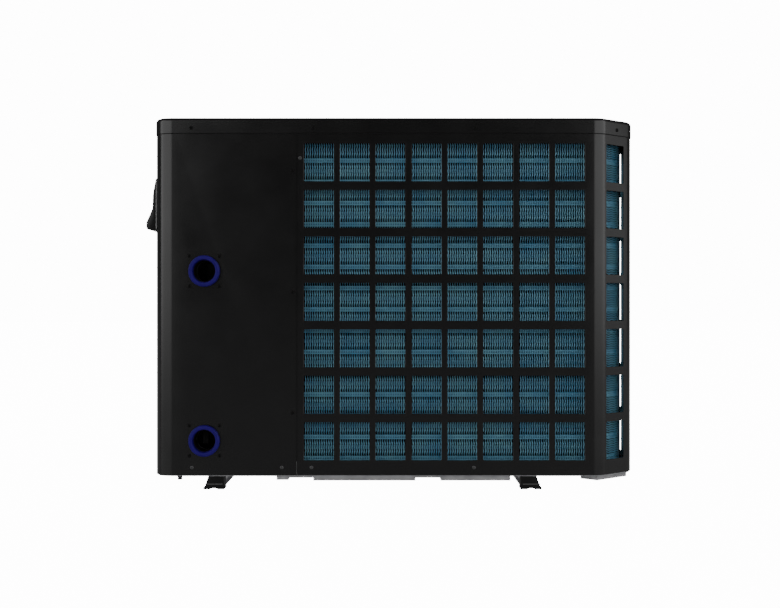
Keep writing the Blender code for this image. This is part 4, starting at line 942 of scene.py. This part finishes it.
def make_control_panel():
    """The recessed control panel with its display, key wells and flap."""
    low, high = CONTROL_LOW, CONTROL_HIGH
    flange = soft_box("control_bezel", low, (high.x, FRONT_Y - GAP, high.z), 0.0012, 3)
    rim = Vector((0.0055, 0.0, 0.0055))
    tub = soft_box("control_tub", Vector((low.x, FRONT_Y - 0.0015, low.z)) + rim, high - rim, 0.0)
    floor_y = high.y - 0.004
    side = Vector((0.008, 0.0, 0.008))
    pocket = soft_box("control_pocket", Vector((low.x, low.y - 0.01, low.z)) + side,
                      Vector((high.x, floor_y, high.z)) - side, 0.0015)
    bezel = combine(flange, "UNION", tub)
    bezel = cut(bezel, pocket)
    for label in ("power", "mode", "up", "down"):
        key = middle_of(f"button_{label}")
        bezel = cut(bezel, rod("key_hole", (key.x, floor_y - 0.01, key.z),
                               (key.x, high.y + 0.01, key.z), 0.0063, 40))
        make_key(label)
    finish_piece(bezel, "handle_plastic", "control_panel")
    middle_x = (low.x + high.x) / 2
    screen_low = Vector((middle_x - 0.052, floor_y - 0.0016, low.z + 0.056))
    screen_high = Vector((middle_x + 0.052, floor_y - 0.0002, high.z - 0.016))
    finish_piece(soft_box("display_window", screen_low, screen_high, 0.0006), "cover_smoke", finish=GLASS)
    bars = []
    for digit in range(4):
        x = middle_x - 0.030 + 0.020 * digit
        bars += digit_bars(x, (screen_low.z + screen_high.z) / 2, screen_low.y - 0.0002)
    finish_piece(joined("display_segments", bars), "cover_smoke", finish=SEGMENT)


def digit_bars(x, z, y):
    """The seven unlit bars of one display digit."""
    half_t, rise, spread = 0.0009, 0.0105, 0.0058
    flat = [((x, z + level * rise), (0.0045, half_t)) for level in (-1, 0, 1)]
    upright = [((x + side * spread, z + level * rise / 2), (half_t, 0.0040))
               for side in (-1, 1) for level in (-1, 1)]
    return [soft_box("bar", (bar_x - half_x, y, bar_z - half_z),
                     (bar_x + half_x, y + 0.0003, bar_z + half_z), 0.0)
            for (bar_x, bar_z), (half_x, half_z) in flat + upright]


def make_key(label):
    """One round key with a dished top."""
    low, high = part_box(f"button_{label}")
    radius, length = (high.x - low.x) / 2, high.y - low.y
    profile = [(0.0, length - 0.0005), (radius * 0.55, length - 0.0003), (radius - 0.0014, length),
               (radius - 0.0004, length - 0.0004), (radius, length - 0.0014), (radius, 0.0), (0.0, 0.0)]
    key = turned(f"key_{label}", profile, ((low.x + high.x) / 2, high.y, (low.z + high.z) / 2),
                 OUT_FRONT, 40)
    finish_piece(key, "button_grey", f"button_{label}", body=f"{label}_key")


def make_control_cover():
    """The smoked flap over the controls, with a finger lip."""
    low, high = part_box("control_cover")
    face = CONTROL_LOW.y
    plate = soft_box("control_flap", (low.x, face, low.z), (high.x, high.y, high.z), 0.0009, 3)
    middle = (low.x + high.x) / 2
    lip = soft_box("flap_lip", (middle - 0.018, low.y, low.z + 0.0025),
                   (middle + 0.018, face + 0.001, low.z + 0.0055), 0.0008, 2)
    flap = combine(plate, "UNION", lip)
    finish_piece(flap, "cover_smoke", "control_cover", body="control_flap")


# -------- screws


def screw_mesh():
    """One pan-head screw with a cross recess, its own +Z pointing out."""
    head_r, head_h = 0.0042, 0.0022
    dome = [(head_r * math.sin(a), head_h * (0.45 + 0.55 * math.cos(a))) for a in evenly(QUARTER, 6)]
    head = turned("screw_head", dome + [(head_r, 0.0), (0.0, 0.0)], (0.0, 0.0, 0.0), UP, 24)
    for turn in (0.0, QUARTER):
        slot = soft_box("screw_slot", (-0.0024, -0.00045, head_h - 0.0012),
                        (0.0024, 0.00045, head_h + 0.001), 0.0)
        slot.rotation_euler = (0.0, 0.0, turn)
        head = cut(head, slot)
    mesh = head.data.copy()
    bpy.data.objects.remove(head, do_unlink=True)
    return mesh


def make_screws():
    """The casing screws: black on the panels and lid, plain zinc along the bottom edge."""
    inset = CORNER_CUT / 2 - LID_OVERHANG * 0.7
    lid_y, lid_z = BACK_Y + LID_OVERHANG, LID_BOTTOM + 0.012
    foot_z = 0.051
    black = [((x, lid_y, lid_z), OUT_BACK) for x in (0.4595, 0.178, -0.1965)]
    black.append(((LEFT_X + inset, BACK_Y - inset, lid_z), OUT_BACK - OUT_SIDE))
    black += [((REAR_SEAM_X + 0.0094, BACK_Y, z), OUT_BACK) for z in (0.7365, 0.457, 0.177)]
    for centre_z in (INLET_Z, OUTLET_Z):
        black += [((WATER_X + dx, BACK_Y, centre_z + dz), OUT_BACK) for dx in (-0.035, 0.035)
                  for dz in (-0.035, 0.035)]
    grey = [((x, BACK_Y, foot_z), OUT_BACK) for x in (0.458, 0.250, 0.1815, -0.194)]
    grey.append(((REAR_SEAM_X - 0.008, BACK_Y, 0.7666), OUT_BACK))
    black += [(place, OUT_FRONT) for place in guard_lug_places(FRONT_Y - 0.0044)]
    front_x = (LEFT_X + 0.040, FRONT_SEAM_X - 0.015, FRONT_SEAM_X + 0.016, RIGHT_X - 0.040)
    black += [((x, FRONT_Y, z), OUT_FRONT) for x in front_x for z in (foot_z, 0.806)]
    black += [((x, FRONT_Y - LID_OVERHANG, lid_z), OUT_FRONT) for x in (-0.440, 0.060, 0.440)]
    black += [((RIGHT_X + LID_OVERHANG, y, lid_z), OUT_SIDE) for y in (-0.120, 0.140)]
    black += [((LEFT_X - LID_OVERHANG, y, lid_z), -OUT_SIDE) for y in (-0.140, 0.060)]
    black += [((RIGHT_X, y, foot_z), OUT_SIDE) for y in (-0.140, 0.150)]
    black += [((LEFT_X, y, foot_z), -OUT_SIDE) for y in (-0.140, 0.080)]
    mesh = screw_mesh()
    for tint, places, finish in (("black", black, SCREW_BLACK), ("zinc", grey, SCREW_GREY)):
        shared = mesh.copy()
        for index, (place, out) in enumerate(places, 1):
            screw = link(f"screw_{tint}_{index}", shared, place, facing(out))
            finish_piece(screw, "shaft_steel", finish=finish)


# -------- nodes kept from the frame


def finish_cad_nodes():
    """Give every CAD node that still shows its material and smooth shading."""
    slots = {row["node"]: row["material_slot"] for row in frame["record"]["subparts"]}
    for name, item in nodes.items():
        if item.hide_render:
            continue
        item.data.materials.clear()
        finish = NODE_FINISHES.get(name, FINISHES[slots[name]])
        item.data.materials.append(finish.material)
        shade(item)


# -------- studio


def add_area(name, place, target, size, power):
    """A soft rectangular light that points at a target."""
    light = bpy.data.lights.new(name, "AREA")
    light.shape = "RECTANGLE"
    light.size, light.size_y = size
    light.energy = power
    item = link(name, light, place)
    item.rotation_euler = (Vector(target) - Vector(place)).to_track_quat("-Z", "Y").to_euler()
    item.visible_camera = False
    return item


def band(tree, value, low, high):
    """A value that eases from 0 to 1 as another goes from low to high."""
    ramp = tree.nodes.new("ShaderNodeMapRange")
    ramp.interpolation_type = "SMOOTHSTEP"
    ramp.inputs["From Min"].default_value = low
    ramp.inputs["From Max"].default_value = high
    tree.links.new(value, ramp.inputs["Value"])
    return ramp.outputs["Result"]


def combined(tree, operation, first, second=0.0):
    """The result of one math step; either side may be a number."""
    step = tree.nodes.new("ShaderNodeMath")
    step.operation = operation
    for socket, value in zip(step.inputs, (first, second)):
        if isinstance(value, float):
            socket.default_value = value
        else:
            tree.links.new(value, socket)
    return step.outputs["Value"]


def times(tree, first, second):
    """The product of two values."""
    return combined(tree, "MULTIPLY", first, second)


def plus(tree, first, second):
    """The sum of two values."""
    return combined(tree, "ADD", first, second)


def room_light(tree):
    """How bright the room is in each direction: a strong and a weak soft wall, and a low glow.

    A heading is how far a direction points to the back, from -1 to 1, whatever its height.
    """
    split = tree.nodes.new("ShaderNodeSeparateXYZ")
    direction = tree.nodes.new("ShaderNodeTexCoord").outputs["Generated"]
    tree.links.new(direction, split.inputs["Vector"])
    side, back, up = (split.outputs[axis] for axis in "XYZ")
    level = combined(tree, "SQRT", combined(tree, "SUBTRACT", 1.0001, combined(tree, "POWER", up, 2.0)))
    heading = combined(tree, "DIVIDE", back, level)
    edge_lift = times(tree, band(tree, heading, *EDGE_LIFT_SPAN), EDGE_LIFT)
    strong = times(tree, band(tree, heading, SOFT_WALL[0] - WALL_BLUR, SOFT_WALL[0] + WALL_BLUR),
                   plus(tree, edge_lift, 1.0))
    weak = times(tree, band(tree, heading, WEAK_WALL[0] - WALL_BLUR, WEAK_WALL[0] + WALL_BLUR),
                 band(tree, side, 0.0, -0.1))
    walls = combined(tree, "MAXIMUM", strong, times(tree, weak, WEAK_WALL[1]))
    walls = times(tree, band(tree, heading, SOFT_WALL[1], SOFT_WALL[1] - 0.012), walls)
    walls = times(tree, walls, band(tree, up, *WALL_TOP_SPAN))
    dip = times(tree, combined(tree, "MINIMUM", plus(tree, heading, FAR_HEADING), 0.0), FAR_DIP)
    above = band(tree, plus(tree, up, dip), *HORIZON_SPAN)
    share = plus(tree, times(tree, above, 1.0 - FLOOR_SHARE), FLOOR_SHARE)
    lit = times(tree, times(tree, walls, share), SOFT_WALL_LIGHT)
    under = times(tree, combined(tree, "SUBTRACT", 1.0, above), FLOOR_GLOW)
    return plus(tree, plus(tree, lit, under), ROOM_GLOW)


def make_world():
    """White all round for the camera; for the object, the room's own light."""
    world = bpy.data.worlds.new("studio")
    world.use_nodes = True
    tree = world.node_tree
    tree.nodes.clear()
    room, white = (tree.nodes.new("ShaderNodeBackground") for _ in range(2))
    set_inputs(room, Color=(1.0, 1.0, 1.0, 1.0))
    tree.links.new(room_light(tree), room.inputs["Strength"])
    set_inputs(white, Color=(1.0, 1.0, 1.0, 1.0), Strength=WHITE)
    mix = tree.nodes.new("ShaderNodeMixShader")
    ray = tree.nodes.new("ShaderNodeLightPath")
    output = tree.nodes.new("ShaderNodeOutputWorld")
    sources = (ray.outputs["Is Camera Ray"], room.outputs[0], white.outputs[0], mix.outputs[0])
    for source, target in zip(sources, (*mix.inputs, output.inputs["Surface"])):
        tree.links.new(source, target)
    bpy.context.scene.world = world


def make_studio():
    """A white studio: a pale floor, the soft walls of light and a high lamp before the fan side."""
    bm = bmesh.new()
    bmesh.ops.create_grid(bm, x_segments=1, y_segments=1, size=30.0)
    floor = mesh_object("floor", bm, (0.0, 0.0, -0.0005))
    paint = Finish("floor_white", 0.85, 0.9, Emission_Color=(1.0, 1.0, 1.0, 1.0),
                   Emission_Strength=WHITE).mottle(0.84, 0.86, 2.0)
    floor.data.materials.append(paint.material)
    for kind in ("diffuse", "glossy", "transmission", "shadow"):
        setattr(floor, f"visible_{kind}", False)
    make_world()
    middle = Vector((0.0, 0.0, HEIGHT / 2))
    add_area("high_box", (0.0, -2.8, 2.8), middle, (2.6, 1.4), HIGH_LAMP)


def make_camera():
    """The camera: square on to the back at mid-height, 3.2 m from the back face."""
    distance, view_width = 3.2, 1.8034
    camera = bpy.data.cameras.new("camera")
    camera.sensor_width = 36.0
    camera.lens = camera.sensor_width * distance / view_width
    item = link("camera", camera, (0.0, BACK_Y + distance, 0.429), (math.pi / 2, 0.0, math.pi))
    bpy.context.scene.camera = item


make_camera()
make_studio()
make_rear_coil_panel()
make_service_side_panel()
make_front_panels()
make_lid()
make_fins()
make_tubes()
make_guard()
make_shroud()
make_impeller()
make_water_rings()
make_handle()
make_feet()
make_control_panel()
make_control_cover()
make_screws()
finish_cad_nodes()
